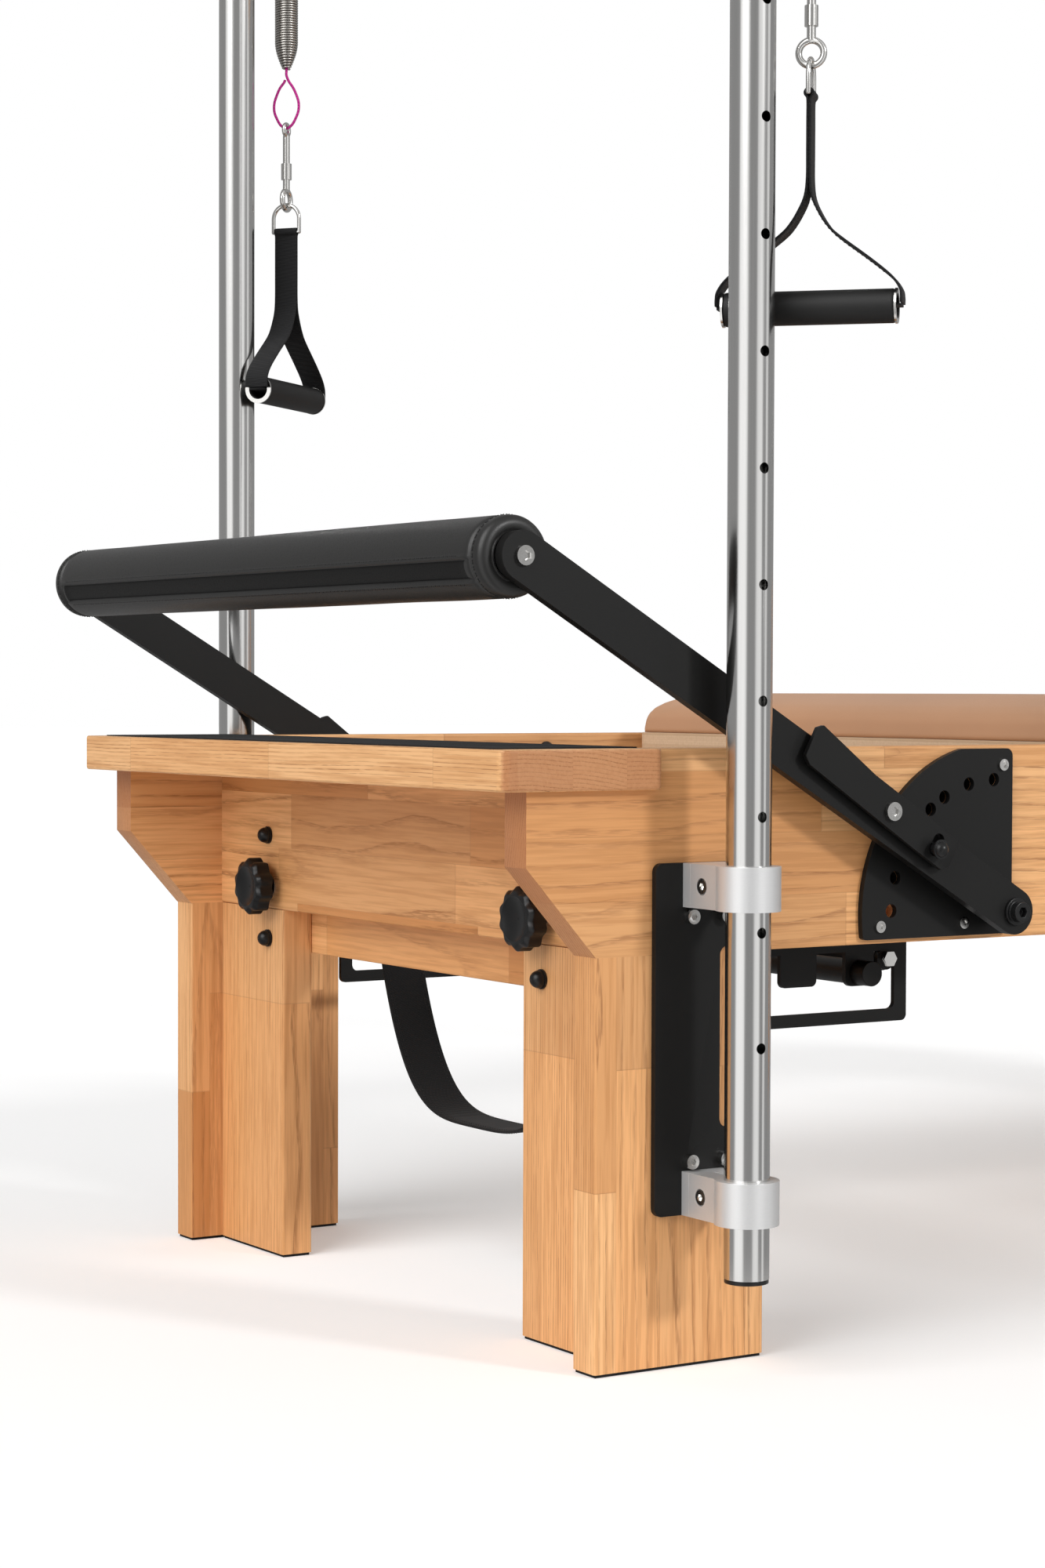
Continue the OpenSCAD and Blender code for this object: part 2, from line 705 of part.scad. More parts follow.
// Scalloped outline: a circle whose radius swells at each lobe
function scallop(r, depth, lobes, n) =
    [for (i = [0:n - 1]) let (a = 360 * i / n) (r - depth + depth * cos(lobes * a)) * [cos(a), sin(a)]];

module star_knob() translate([end_face_x - 2, 0, knob_z]) rotate([0, -90, 0]) {
    depth = end_face_x - 2 - knob_face_x;
    cylinder(h = depth - 18, r1 = 10, r2 = 14);
    translate([0, 0, depth - 18]) difference() {
        union() {
            linear_extrude(14) polygon(scallop(knob_r, 1.6, 10, 120));
            translate([0, 0, 14]) linear_extrude(4, scale = 0.86)
                polygon(scallop(knob_r, 1.6, 10, 120));
        }
        translate([0, 0, 18 + 46 - 5]) sphere(r = 46);
    }
    translate([0, 0, -board_t - 18]) cylinder(h = board_t + 18 + 6, d = 10);
}

module star_knob_far() place() color(black) translate([0, half_w - knob_in, 0]) star_knob();
module star_knob_near() place() color(black) translate([0, -half_w + knob_in, 0]) star_knob();

// Spring bar, its brackets, tracks and strap under the bed

module bracket_outline() difference() {
    translate([bracket_x, bracket_z]) soft_rect(bracket_l, shelf_z + bracket_t - bracket_z, 6);
    difference() {
        translate([bracket_x + 14, bracket_z + 12])
            soft_rect(bracket_l - 29, bracket_window_z - bracket_z - 12, 7);
        translate([spring_bar_x - 95, spring_bar_z - 11]) soft_rect(43, 40, 6);
        translate([spring_bar_x - 17, spring_bar_z - 13]) soft_rect(34, 40, 8);
        translate([stay_x, stay_z]) circle(r = 11);
    }
}

// Plates that carry the spring bars, and the angles on the lower rail from which the strap hangs
module under_bed_brackets() place() color(black) both_sides() {
    plate_y = half_w - bracket_in;
    difference() {
        upright(plate_y - bracket_t, bracket_t) bracket_outline();
        rod_y(plate_y - 9, plate_y + 1, spring_bar_x, spring_bar_z, spring_bar_d + 2 * seat);
        rod_y(plate_y - 9, plate_y + 1, stay_x, stay_z, 8 + 2 * seat);
    }
    box(bracket_x, plate_y, shelf_z, [bracket_l, inner_w / 2 - plate_y, bracket_t]);
    box(bracket_x, inner_w / 2 - bracket_t, shelf_z + bracket_t, [bracket_l, bracket_t, flange_h]);
    top = strap_low + strap_drop + ease;
    back = end_back_x + board_t + seat;
    box(back, strap_half - 16, top, [strap_x + strap_w - back, 34, 4]);
    box(back, strap_half - 16, top + 4, [4, 34, 40]);
}

// The round bar that rests in the brackets, and the stay beside it that the springs hook on
module spring_bars() place() color(black) {
    end_y = half_w - bracket_in + 20;
    rod_y(-end_y, end_y, spring_bar_x, spring_bar_z, spring_bar_d);
    stay_y = half_w - bracket_in - bracket_t;
    difference() {
        rod_y(-stay_y, stay_y, stay_x, stay_z, stay_d);
        both_sides() rod_y(stay_y - 20.5, stay_y + 1, stay_x, stay_z, 8 + 2 * seat);
    }
}

module track_rails() place() color(aluminium) both_sides() difference() {
    l = frame_l - 2 * track_x;
    box(track_x, inner_w / 2 - track_w, track_z - track_h, [l, track_w, track_h]);
    box(track_x - 1, inner_w / 2 - track_w + track_t, track_z - track_h + track_t,
        [l + 2, track_w - 2 * track_t, track_h - 2 * track_t]);
}

module carriage_stops() place() color(black) both_sides()
    for (x = [wheel_xs[0] - wheel_r - stop_gap - stop_l, wheel_xs[1] + travel + wheel_r + stop_gap])
        box(x, wheel_y - 10, track_z, [stop_l, 22, 20]);

// Height of the strap's middle line at a share t of its half width, from -1 to 1
function strap_at(t) = let (y = strap_half * sin(90 * t))
    [y, strap_low + strap_drop * pow(abs(sin(90 * t)), strap_power)];
// Outline of a band of thickness t along a path
function turn_left(path, i) = let (n = len(path) - 1,
    d = path[min(i + 1, n)] - path[max(i - 1, 0)]) [-d[1], d[0]] / norm(d);
function band(path, t) = let (n = len(path) - 1) concat(
    [for (i = [0:n]) path[i] + turn_left(path, i) * t / 2],
    [for (i = [n:-1:0]) path[i] - turn_left(path, i) * t / 2]);

module foot_strap() place() color(black) translate([strap_x, 0, 0]) rotate([90, 0, 90])
    linear_extrude(strap_w) polygon(band([for (i = [-28:28]) strap_at(0.985 * i / 28)], strap_t));

// Carriage

module carriage_board() place() color(pale_ply) difference() {
    translate([carriage_x, -carriage_w / 2, ply_z]) linear_extrude(ply_t)
        soft_rect(carriage_l, carriage_w, 18);
    for (s = [-1, 1]) translate([shoulder_x + 45, s * shoulder_y, ply_z - 1])
        cylinder(h = ply_t + 2, d = 12 + 2 * seat);
}

// Points of a rectangle with round corners about the origin, n points to a corner
function ring_points(l, w, r, n) = [for (c = [0:3], i = [0:n - 1])
    let (a = 90 * c + 90 * i / (n - 1), sx = (c == 0 || c == 3) ? 1 : -1, sy = c < 2 ? 1 : -1)
    [sx * (l / 2 - r) + r * cos(a), sy * (w / 2 - r) + r * sin(a)]];

// Cushion on the XY plane: flat underneath, sides that bulge and draw in, and a crowned top
module cushion(l, w, t, r, crown) {
    n = 7;
    // Each ring: share of the height, and how far it stands in from the outline
    rings = [[0, 5], [0.12, 1.5], [0.32, 0], [0.55, 0], [0.76, 3], [0.9, 9], [0.97, 18]];
    inner = [0.25, 0.55, 0.8];
    side = t - crown;
    loops = concat(
        [for (k = rings) [for (p = ring_points(l - 2 * k[1], w - 2 * k[1], max(r - k[1], 4), n))
            [p[0], p[1], k[0] * side]]],
        [for (k = inner) [for (p = ring_points((l - 36) * (1 - k), (w - 36) * (1 - k),
            max((r - 18) * (1 - k), 3), n)) [p[0], p[1], side + crown * sin(90 * k)]]]);
    m = 4 * n;
    points = concat([for (q = loops) each q], [[0, 0, t], [0, 0, 0]]);
    top = len(loops) * m;
    polyhedron(points, concat(
        [for (k = [0:len(loops) - 2], i = [0:m - 1]) let (j = (i + 1) % m)
            each [[k * m + i, (k + 1) * m + j, k * m + j], [k * m + i, (k + 1) * m + i,
                (k + 1) * m + j]]],
        [for (i = [0:m - 1]) [(len(loops) - 1) * m + i, top, (len(loops) - 1) * m + (i + 1) % m]],
        [for (i = [0:m - 1]) [i, (i + 1) % m, top + 1]]), 4);
}

module carriage_pad() place() color(tan)
    translate([carriage_x + pad_l / 2, 0, board_top + ease])
        cushion(pad_l, carriage_w, pad_t, 26, 2.5);

module wheel_forks() place() color(steel) both_sides() for (x = wheel_xs) {
    for (y = [wheel_y - wheel_w / 2 - 5, wheel_y + wheel_w / 2 + 1])
        box(x - 14, y, wheel_z - 14, [28, 4, ply_z - wheel_z + 14 - 4]);
    box(x - 30, wheel_y - wheel_w / 2 - 5, ply_z - 4, [60, wheel_w + 10, 4]);
    rod_y(wheel_y - wheel_w / 2 - 8, wheel_y + wheel_w / 2 + 5, x, wheel_z, axle_d);
}

// A pair of wheels with a crowned tread, a dished face and a running bore
module wheel_pair(x) both_sides() translate([x, wheel_y - wheel_w / 2, wheel_z])
    rotate([-90, 0, 0]) difference() {
        union() {
            translate([0, 0, 2]) cylinder(h = wheel_w - 4, r = wheel_r);
            cylinder(h = 2, r1 = wheel_r - 2, r2 = wheel_r);
            translate([0, 0, wheel_w - 2]) cylinder(h = 2, r1 = wheel_r, r2 = wheel_r - 2);
        }
        translate([0, 0, -1]) cylinder(h = wheel_w + 2, r = axle_d / 2 + running);
        for (z = [-1, wheel_w - 3]) translate([0, 0, z]) difference() {
            cylinder(h = 4, r = wheel_r - 6);
            translate([0, 0, -1]) cylinder(h = 6, r = axle_d / 2 + 4);
        }
    }

module foot_wheels() place() color(black) wheel_pair(wheel_xs[0]);
module head_wheels() place() color(black) wheel_pair(wheel_xs[1]);

// Extension springs from the stay to the carriage: an eye round the stay, a coil, an eye above
module carriage_springs() place() color(steel) {
    run = anchor_x - stay_x;
    rise = anchor_z - stay_z;
    slope = atan2(rise, run);
    l = norm([run, rise]);
    for (y = spring_ys) translate([stay_x, y, stay_z]) rotate([0, -slope, 0]) {
        rotate([90, 0, 0]) rotate_extrude() translate([stay_d / 2 + 2 + ease, 0])
            circle(r = 2, $fn = 16);
        rod_x(stay_d / 2 + 4, 44, 0, 0, 4);
        translate([40, 0, 0]) rotate([0, 90, 0]) {
            cylinder(h = 14, r1 = 4, r2 = 13);
            translate([0, 0, 14]) cylinder(h = l - 110, r = 13);
            translate([0, 0, l - 96]) cylinder(h = 14, r1 = 13, r2 = 4);
        }
        rod_x(l - 44, l - anchor_d / 2 - 4, 0, 0, 4);
        translate([l, 0, 0]) rotate([90, 0, 0]) rotate_extrude()
            translate([anchor_d / 2 + 2 + ease, 0]) circle(r = 2, $fn = 16);
    }
}

// Bar under the carriage that the springs pull on, between two steel angles
module spring_anchor() place() color(black) {
    rod_y(-anchor_half - 8, anchor_half + 8, anchor_x, anchor_z, anchor_d);
    both_sides() difference() {
        union() {
            box(anchor_x - 20, anchor_half, anchor_z - 16, [40, 5, ply_z - anchor_z + 16]);
            box(anchor_x - 20, anchor_half, ply_z - 5, [40, 40, 5]);
        }
        rod_y(anchor_half - 1, anchor_half + 6, anchor_x, anchor_z, anchor_d - 0.01);
    }
}

// Padded shoulder stops on steel angles with a peg down into the board
module shoulder_brackets() place() color(black) for (s = [-1, 1]) translate([shoulder_x + 8,
    s * shoulder_y, board_top]) {
    half = shoulder_plate / 2;
    translate([0, -half, 0]) cube([shoulder_plate, shoulder_plate, 5]);
    translate([0, -half, 5]) cube([5, shoulder_plate, shoulder_h - 25]);
    translate([37, 0, -ply_t + 2]) cylinder(h = ply_t - 2, d = 12);
    for (y = [-half, half - 6]) translate([5, y, 5]) rotate([90, 0, 0]) translate([0, 0, -6])
        linear_extrude(6) polygon([[0, 0], [50, 0], [0, 70]]);
}

module shoulder_pads() place() color(tan) for (s = [-1, 1])
    translate([shoulder_x + 8 - ease, s * shoulder_y, board_top + 5 + shoulder_h / 2])
        rotate([0, -90, 0]) cushion(shoulder_h - 12, shoulder_w, 52, 20, 6);

// Two ears on the carriage board with the pin that the headrest turns on
module headrest_hinge() place() color(steel) {
    ear_y = headrest_w / 2 - 20 + ease;
    both_sides() {
        box(headrest_x, ear_y, board_top, [headrest_t, 4, headrest_t / 2 + ease]);
        rod_y(ear_y, ear_y + 4, headrest_pin_x, board_top + headrest_t / 2 + ease, headrest_t);
    }
    rod_y(-ear_y, ear_y, headrest_pin_x, board_top + headrest_t / 2 + ease, headrest_pin_d);
}

module headrest_board() place() color(pale_ply) difference() {
    w = headrest_w - 40;
    union() {
        translate([headrest_pin_x, -w / 2, board_top + ease])
            cube([30, w, headrest_t]);
        translate([headrest_x + 20, -headrest_w / 2 + 6, board_top + ease])
            linear_extrude(headrest_t) soft_rect(headrest_l - 26, headrest_w - 12, 14);
        rod_y(-w / 2, w / 2, headrest_pin_x, board_top + headrest_t / 2 + ease, headrest_t);
    }
    rod_y(-w, w, headrest_pin_x, board_top + headrest_t / 2 + ease, headrest_pin_d + 2 * running);
}

module headrest_pad() place() color(tan)
    translate([headrest_x + 16 + headrest_l / 2, 0, board_top + headrest_t + 2 * ease])
        cushion(headrest_l - 16, headrest_w, pad_t - headrest_t + 2, 22, 4);

// Handles that hang on springs from the canopy

// Frame of a handle: origin under its eye bolt, first axis along the grip
module near_handle() place() translate([hang_x, -post_y, 0]) rotate([0, 0, -near_turn]) children();
module far_handle() place() translate([hang_x, post_y, 0]) rotate([0, 0, far_turn]) children();

module eye_bolts() place() color(steel) both_sides() translate([hang_x, post_y, canopy_h]) {
    cylinder(h = post_d / 2 + 8, d = eye_wire);
    translate([0, 0, -post_d / 2 - 3]) cylinder(h = post_d / 2 + 3, d = eye_wire);
    translate([0, 0, post_d / 2]) cylinder(h = 6, d = 13, $fn = 6);
    translate([0, 0, eye_z - canopy_h]) rotate([90, 0, 0]) rotate_extrude()
        translate([eye_r, 0]) circle(d = eye_wire, $fn = 24);
}

// Point of the hanging spring at a share t from its lower end: a helix that tapers at both ends
function spring_r(t) = (spring_d - spring_wire) / 2 * min(1, 0.25 + 24 * t, 0.25 + 24 * (1 - t));
function spring_at(t) = [spring_r(t) * cos(360 * curls * t), spring_r(t) * sin(360 * curls * t),
    spring_low + spring_wire / 2 + (spring_top - spring_low - spring_wire) * t];

// Tube of six sides swept along points on a near-level helix
module swept(points, r) {
    n = len(points);
    sides = 6;
    function dir(i) = let (d = points[min(i + 1, n - 1)] - points[max(i - 1, 0)]) d / norm(d);
    function across(i) = let (p = [points[i][0], points[i][1], 0]) p / norm(p);
    function up(i) = let (u = cross(dir(i), across(i))) u / norm(u);
    function side(i) = cross(up(i), dir(i));
    verts = [for (i = [0:n - 1], k = [0:sides - 1])
        points[i] + r * (cos(360 * k / sides) * side(i) + sin(360 * k / sides) * up(i))];
    last = (n - 1) * sides;
    polyhedron(verts, concat(
        [for (i = [0:n - 2], k = [0:sides - 1]) let (j = (k + 1) % sides)
            each [[i * sides + k, i * sides + j, (i + 1) * sides + j],
                [i * sides + k, (i + 1) * sides + j, (i + 1) * sides + k]]],
        [[for (k = [sides - 1:-1:0]) k]], [[for (k = [0:sides - 1]) last + k]]), 6);
}

spring_points = [for (i = [0:8 * curls]) spring_at(i / (8 * curls))];

module arm_spring() swept(spring_points, spring_wire / 2);

// Least distance between the surfaces of stretches of a tube that lie apart or more points apart
function least_gap(points, d, apart) = min([for (i = [0:len(points) - 1 - apart])
    min([for (j = [i + apart:len(points) - 1]) norm(points[i] - points[j])])]) - d;

module arm_spring_near() color(steel) near_handle() arm_spring();
module arm_spring_far() color(steel) far_handle() arm_spring();

// Loop of cord under the spring, seen along the grip: wide in the middle, narrow at both ends
cord_path = [[0, 1308], [0, 1302], [0, 1297], [-3, 1290], [-8, 1283], [-12, 1275], [-15, 1266],
    [-15, 1257], [-12, 1249], [-7, 1241], [0, 1237], [7, 1241], [12, 1249], [15, 1257],
    [15, 1266], [12, 1275], [8, 1283], [3, 1289], [1.6, 1292]];

// Tube of eight sides swept along a path of Y and Z
module flat_tube(path, r) {
    n = len(path);
    sides = 8;
    verts = [for (i = [0:n - 1], k = [0:sides - 1]) let (q = path[i] + r * cos(360 * k / sides)
        * turn_left(path, i)) [r * sin(360 * k / sides), q[0], q[1]]];
    last = (n - 1) * sides;
    polyhedron(verts, concat(
        [for (i = [0:n - 2], k = [0:sides - 1]) let (j = (k + 1) % sides)
            [i * sides + k, i * sides + j, (i + 1) * sides + j, (i + 1) * sides + k]],
        [[for (k = [sides - 1:-1:0]) k]], [[for (k = [0:sides - 1]) last + k]]), 6);
}

module cord_loop_near() color(magenta) near_handle() flat_tube(cord_path, cord_d / 2);
module cord_loop_far() color(magenta) far_handle() flat_tube(cord_path, cord_d / 2);

// Ring of round wire in the plane of X and Z
module wire_ring(z, r, wire) translate([0, 0, z]) rotate([90, 0, 0])
    rotate_extrude($fn = 40) translate([r, 0]) circle(d = wire, $fn = 20);

// D ring in the plane of Y and Z: an arch above, a straight bar below
module dee_ring() {
    translate([0, 0, dee_z]) rotate([90, 0, 90]) rotate_extrude(angle = 180, $fn = 40)
        translate([dee_r, 0]) circle(d = dee_wire, $fn = 20);
    for (s = [-1, 1]) {
        translate([0, s * dee_r, dee_bar_z]) cylinder(h = dee_z - dee_bar_z, d = dee_wire, $fn = 20);
        translate([0, s * dee_r, dee_bar_z]) sphere(d = dee_wire, $fn = 20);
    }
    rod_y(-dee_r, dee_r, 0, dee_bar_z, dee_wire);
}

// Snap link with an eye above and a hook below, the D ring on it, and the eyelets of the grip
module handle_hardware() {
    wire_ring(link_eye_z, link_eye_r, link_wire);
    shank_z = hook_z + hook_r;
    translate([0, 0, shank_z]) cylinder(h = link_eye_z - link_eye_r - shank_z, d = 8);
    translate([0, 0, shank_z + 12]) cylinder(h = 18, d = 12);
    wire_ring(hook_z, hook_r, hook_wire);
    dee_ring();
    for (s = [-1, 1]) translate([s * (grip_l / 2 + 1), 0, grip_z]) rotate([0, 90, 0])
        difference() {
            cylinder(h = 2 - 2 * seat, d = grip_d + 1, center = true);
            cylinder(h = 4, d = grip_bore + 3, center = true);
        }
}

module handle_hardware_near() color(steel) near_handle() handle_hardware();
module handle_hardware_far() color(steel) far_handle() handle_hardware();

// Half of the webbing, from under the D ring to an end of the grip
strap_path = [[strap_fold / 2 + 0.05, dee_bar_z - 6.5], [strap_fold / 2 + 0.05, 1042], [3, 1031],
    [8, 1019], [16, 1006], [26, 996], [54, 975],
    [strap_reach - 1, grip_z + 16], [strap_reach, grip_z + 8], [strap_reach, grip_z - strap_fold / 2]];

// The whole webbing: up one leg, over the D ring's bar and down the other leg
strap_turn = dee_wire / 2 + ease + strap_fold / 2;
strap_line = concat([for (i = [len(strap_path) - 1:-1:0]) strap_path[i]],
    [for (a = [-50:20:230]) [strap_turn * cos(a), dee_bar_z + strap_turn * sin(a)]],
    [for (p = strap_path) [-p[0], p[1]]]);

// Webbing in one length, doubled under the D ring, with a narrower run through the grip
module handle_strap() {
    rotate([90, 0, 0]) linear_extrude(webbing_w, center = true)
        polygon(band(strap_line, strap_fold));
    translate([0, 0, grip_z + 0.3]) cube([2 * strap_reach, grip_bore - 2 * ease, strap_fold],
        center = true);
}

module handle_strap_near() color(black) near_handle() handle_strap();
module handle_strap_far() color(black) far_handle() handle_strap();

// Foam tube; the webbing runs through it
module handle_grip() difference() {
    rod_x(-grip_l / 2, grip_l / 2, 0, grip_z, grip_d);
    rod_x(-grip_l, grip_l, 0, grip_z, grip_bore);
}

module handle_grip_near() color(black) near_handle() handle_grip();
module handle_grip_far() color(black) far_handle() handle_grip();

// Sliding cross bar with its trapeze, and the push-through bar
slider_z = canopy_h - post_d / 2 - bar_d / 2 - 10;
trapeze_strap_w = 40;
trapeze_strap_y = trapeze_w / 2 - 60;

module slider_collars() place() color(aluminium) both_sides() difference() {
    union() {
        rod_x(slider_x - 30, slider_x + 30, post_y, canopy_h, post_d + 12);
        box(slider_x - 24, post_y - 26, slider_z - bar_d / 2 - 6, [48, 52, canopy_h - slider_z]);
    }
    rod_x(slider_x - 31, slider_x + 31, post_y, canopy_h, post_d + 2 * ease);
    rod_y(post_y - 27, post_y + 18, slider_x, slider_z, bar_d + 2 * seat);
}

module slider_bar() place() color(steel) difference() {
    rod_y(-post_y - 18, post_y + 18, slider_x, slider_z, bar_d);
    rod_y(-post_y + 30, post_y - 30, slider_x, slider_z, bar_d - 4);
}

// Webbing loops from the cross bar down round the trapeze bar
module loop_outline(grow) hull() {
    translate([slider_x, slider_z]) circle(r = bar_d / 2 + grow, $fn = 48);
    translate([slider_x, trapeze_z]) circle(r = 17 + grow, $fn = 48);
}

module trapeze_straps() place() color(black) for (y = [-trapeze_strap_y, trapeze_strap_y])
    upright(y - trapeze_strap_w / 2, trapeze_strap_w) difference() {
        loop_outline(3);
        loop_outline(0.5);
    }

module trapeze_bar() place() color(oak) rod_y(-trapeze_w / 2, trapeze_w / 2, slider_x, trapeze_z, 34);

// U of steel tube hung from the pivot collars, with an eye at the top of each arm
module push_bar() place() color(steel) {
    arm_y = post_y - 47.5;
    bend = 70;
    x = frame_l - post_x;
    low = push_z - push_l;
    both_sides() {
        difference() {
            union() {
                rod_y(arm_y - 11, arm_y + 11, x, push_z, 40);
                translate([x, arm_y, low + bend]) cylinder(h = push_l - bend, d = bar_d - 8);
            }
            rod_y(arm_y - 12, arm_y + 12, x, push_z, 16 + 2 * running);
        }
        translate([x, arm_y - bend, low + bend]) rotate([90, 0, 90]) rotate([0, 0, -90])
            rotate_extrude(angle = 90) translate([bend, 0]) circle(d = bar_d - 8, $fn = 40);
    }
    rod_y(-arm_y + bend, arm_y - bend, x, low, bar_d - 8);
}

echo(spring_least_gap = least_gap(spring_points, spring_wire, 5));
echo(cord_least_gap = least_gap(cord_path, cord_d, 8));

side_rails();
cross_rails();
legs();
foot_pads();
standing_platform();
grip_tape();
post_plates();
post_clamps();
steel_screws();
posts();
post_caps();
canopy_tubes();
corner_fittings();
sector_plates();
cap_nuts();
under_bed_brackets();
spring_bars();
track_rails();
carriage_stops();
foot_strap();
eye_bolts();
pivot_bolts();
footbar_arms();
footbar_core();
footbar_roll();
footbar_bolts();
lock_lever_near();
lock_lever_far();
lock_pin_near();
lock_pin_far();
star_knob_near();
star_knob_far();
carriage_board();
carriage_pad();
wheel_forks();
foot_wheels();
head_wheels();
carriage_springs();
spring_anchor();
shoulder_brackets();
shoulder_pads();
headrest_hinge();
headrest_board();
headrest_pad();
arm_spring_near();
cord_loop_near();
handle_hardware_near();
handle_strap_near();
handle_grip_near();
arm_spring_far();
cord_loop_far();
handle_hardware_far();
handle_strap_far();
handle_grip_far();
slider_bar();
slider_collars();
trapeze_straps();
trapeze_bar();
push_bar();
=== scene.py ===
# %% [markdown]
# # A pilates trapeze table
#
# The real thing is an oak frame on four corner legs, with steel posts, a padded foot bar, a sliding
# carriage and two hanging handles. The parts come in as a finished frame with their joints, so this
# lesson never moves them. It gives them finishes, builds the soft pieces over their plain solids,
# and sets up a pale studio. Everything is in metres, X runs along the table, Z is up.

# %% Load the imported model
from math import copysign, cos, degrees, exp, pi, radians, sin

import bpy
from mathutils import Matrix, Vector, noise


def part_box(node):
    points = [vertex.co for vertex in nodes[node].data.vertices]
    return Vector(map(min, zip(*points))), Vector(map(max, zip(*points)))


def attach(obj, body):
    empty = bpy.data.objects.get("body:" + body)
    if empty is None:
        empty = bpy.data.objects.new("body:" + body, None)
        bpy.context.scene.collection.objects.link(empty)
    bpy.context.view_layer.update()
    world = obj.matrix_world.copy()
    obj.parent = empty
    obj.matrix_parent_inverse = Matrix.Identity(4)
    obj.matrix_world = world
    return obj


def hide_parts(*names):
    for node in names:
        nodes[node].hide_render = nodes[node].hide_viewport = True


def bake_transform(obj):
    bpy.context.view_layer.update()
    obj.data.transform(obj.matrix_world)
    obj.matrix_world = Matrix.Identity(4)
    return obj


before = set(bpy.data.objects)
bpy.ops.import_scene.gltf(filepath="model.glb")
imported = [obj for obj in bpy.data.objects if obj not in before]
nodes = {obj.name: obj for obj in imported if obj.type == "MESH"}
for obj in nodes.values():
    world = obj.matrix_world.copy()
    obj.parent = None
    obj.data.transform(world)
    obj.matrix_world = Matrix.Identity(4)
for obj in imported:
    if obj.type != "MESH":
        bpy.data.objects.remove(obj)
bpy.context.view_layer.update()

# %% [markdown]
# ## Measures in the maker's own way
#
# The drawing counts millimetres from the foot end, the middle and the floor. A small function turns
# such a point into the frame's metres, so the numbers here can be read beside the drawing.

# %% Points in millimetres
HALF_LENGTH = 1180
HALF_WIDTH = 413


def at(x, y, z):
    return Vector(((x - HALF_LENGTH) / 1000, y / 1000, z / 1000))


X_AXIS, Y_AXIS = Vector((1, 0, 0)), Vector((0, 1, 0))
print("foot end of the platform at", tuple(at(0, 0, 550)))

# %% [markdown]
# ## Camera
#
# The photograph was taken from the near corner of the foot end, a little above the platform, with a
# long lens. The place and the turn come from fitting straight edges of the table. A camera could
# also be aimed with a constraint, but a written matrix says exactly where it stands.

# %% Camera
YAW, PITCH, ROLL = (radians(a) for a in (32.34, -1.78, 0.18))
CAMERA_PLACE = (-2.5591, -2.637, 0.6025)
LENS, SENSOR, FARTHEST = 70.81, 36, 100
ahead = Vector((sin(YAW) * cos(PITCH), cos(YAW) * cos(PITCH), sin(PITCH)))
level = Vector((cos(YAW), -sin(YAW), 0))
above = level.cross(ahead)
right = cos(ROLL) * level + sin(ROLL) * above
up = -sin(ROLL) * level + cos(ROLL) * above
camera = bpy.data.objects.new("camera", bpy.data.cameras.new("camera"))
camera.data.lens = LENS
camera.data.sensor_width = SENSOR
camera.data.clip_end = FARTHEST
turn = Matrix((right, up, -ahead)).transposed().to_4x4()
camera.matrix_world = Matrix.Translation(CAMERA_PLACE) @ turn
bpy.context.scene.collection.objects.link(camera)
bpy.context.scene.camera = camera
bpy.context.scene.view_settings.view_transform = "Standard"
print("camera looks along", tuple(round(c, 3) for c in ahead))

# %% [markdown]
# ## Small tools for meshes
#
# A few helpers make nearly every new piece: a mesh from points and faces, a tube or band drawn
# along a line, and a turned shape. Curves with a bevel would do too, but plain meshes keep their
# points where a later bend can move them.

# %% Angles, rings and new pieces
def round_angles(count):
    """Angles that divide a full turn evenly."""
    return [2 * pi * i / count for i in range(count)]


def arc_angles(start, stop, step):
    """Angles of an arc counted in whole degrees, like range."""
    return [radians(d) for d in range(start, stop, step)]


def ring_faces(i, j, k):
    """Faces between ring i and ring j of k points each."""
    return [(i * k + s, i * k + (s + 1) % k, j * k + (s + 1) % k, j * k + s) for s in range(k)]


def end_faces(points, k):
    """Faces that close the first and the last ring of k points."""
    return [tuple(reversed(range(k))), tuple(range(len(points) - k, len(points)))]


def make_piece(name, points, faces, mat, smooth=True):
    mesh = bpy.data.meshes.new(name)
    mesh.from_pydata([tuple(p) for p in points], [], faces)
    mesh.materials.append(mat)
    if smooth:
        mesh.shade_smooth()
    piece = bpy.data.objects.new(name, mesh)
    bpy.context.scene.collection.objects.link(piece)
    return piece


def joined(parts):
    """One list of points and faces from several."""
    points, faces = [], []
    for p, f in parts:
        base = len(points)
        points += list(p)
        faces += [tuple(base + i for i in face) for face in f]
    return points, faces


print("a ring of four has its points at", [round(a, 2) for a in round_angles(4)])

# %% [markdown]
# ## Drawing along a line
#
# Sweeping sets a flat outline across a line at each point, and turning takes a profile round an
# axis. The outline's first axis is carried on from point to point, so that a tube doesn't twist,
# or fixed by a side for bands that stay stiff across.

# %% Sweeping and turning
CURVE_STEPS = 4


def steps_along(line, closed):
    """Direction of a line at each of its points."""
    n = len(line)
    result = []
    for i in range(n):
        a = line[(i - 1) % n] if closed or i > 0 else line[0]
        b = line[(i + 1) % n] if closed or i < n - 1 else line[-1]
        result.append((b - a).normalized())
    return result


def swept_mesh(line, section, closed=False, side=None):
    """Points and faces of a section drawn along a line; side keeps its first axis."""
    directions = steps_along(line, closed)
    across = side or (Vector((0, 0, 1)) if abs(directions[0].z) < 0.9 else Vector((1, 0, 0)))
    points, faces = [], []
    for place, onward in zip(line, directions):
        across = (side or across) - onward * onward.dot(side or across)
        across.normalize()
        over = onward.cross(across)
        points += [place + across * a + over * b for a, b in section]
    k = len(section)
    for i in range(len(line) if closed else len(line) - 1):
        faces += ring_faces(i, (i + 1) % len(line), k)
    return points, faces if closed else faces + end_faces(points, k)


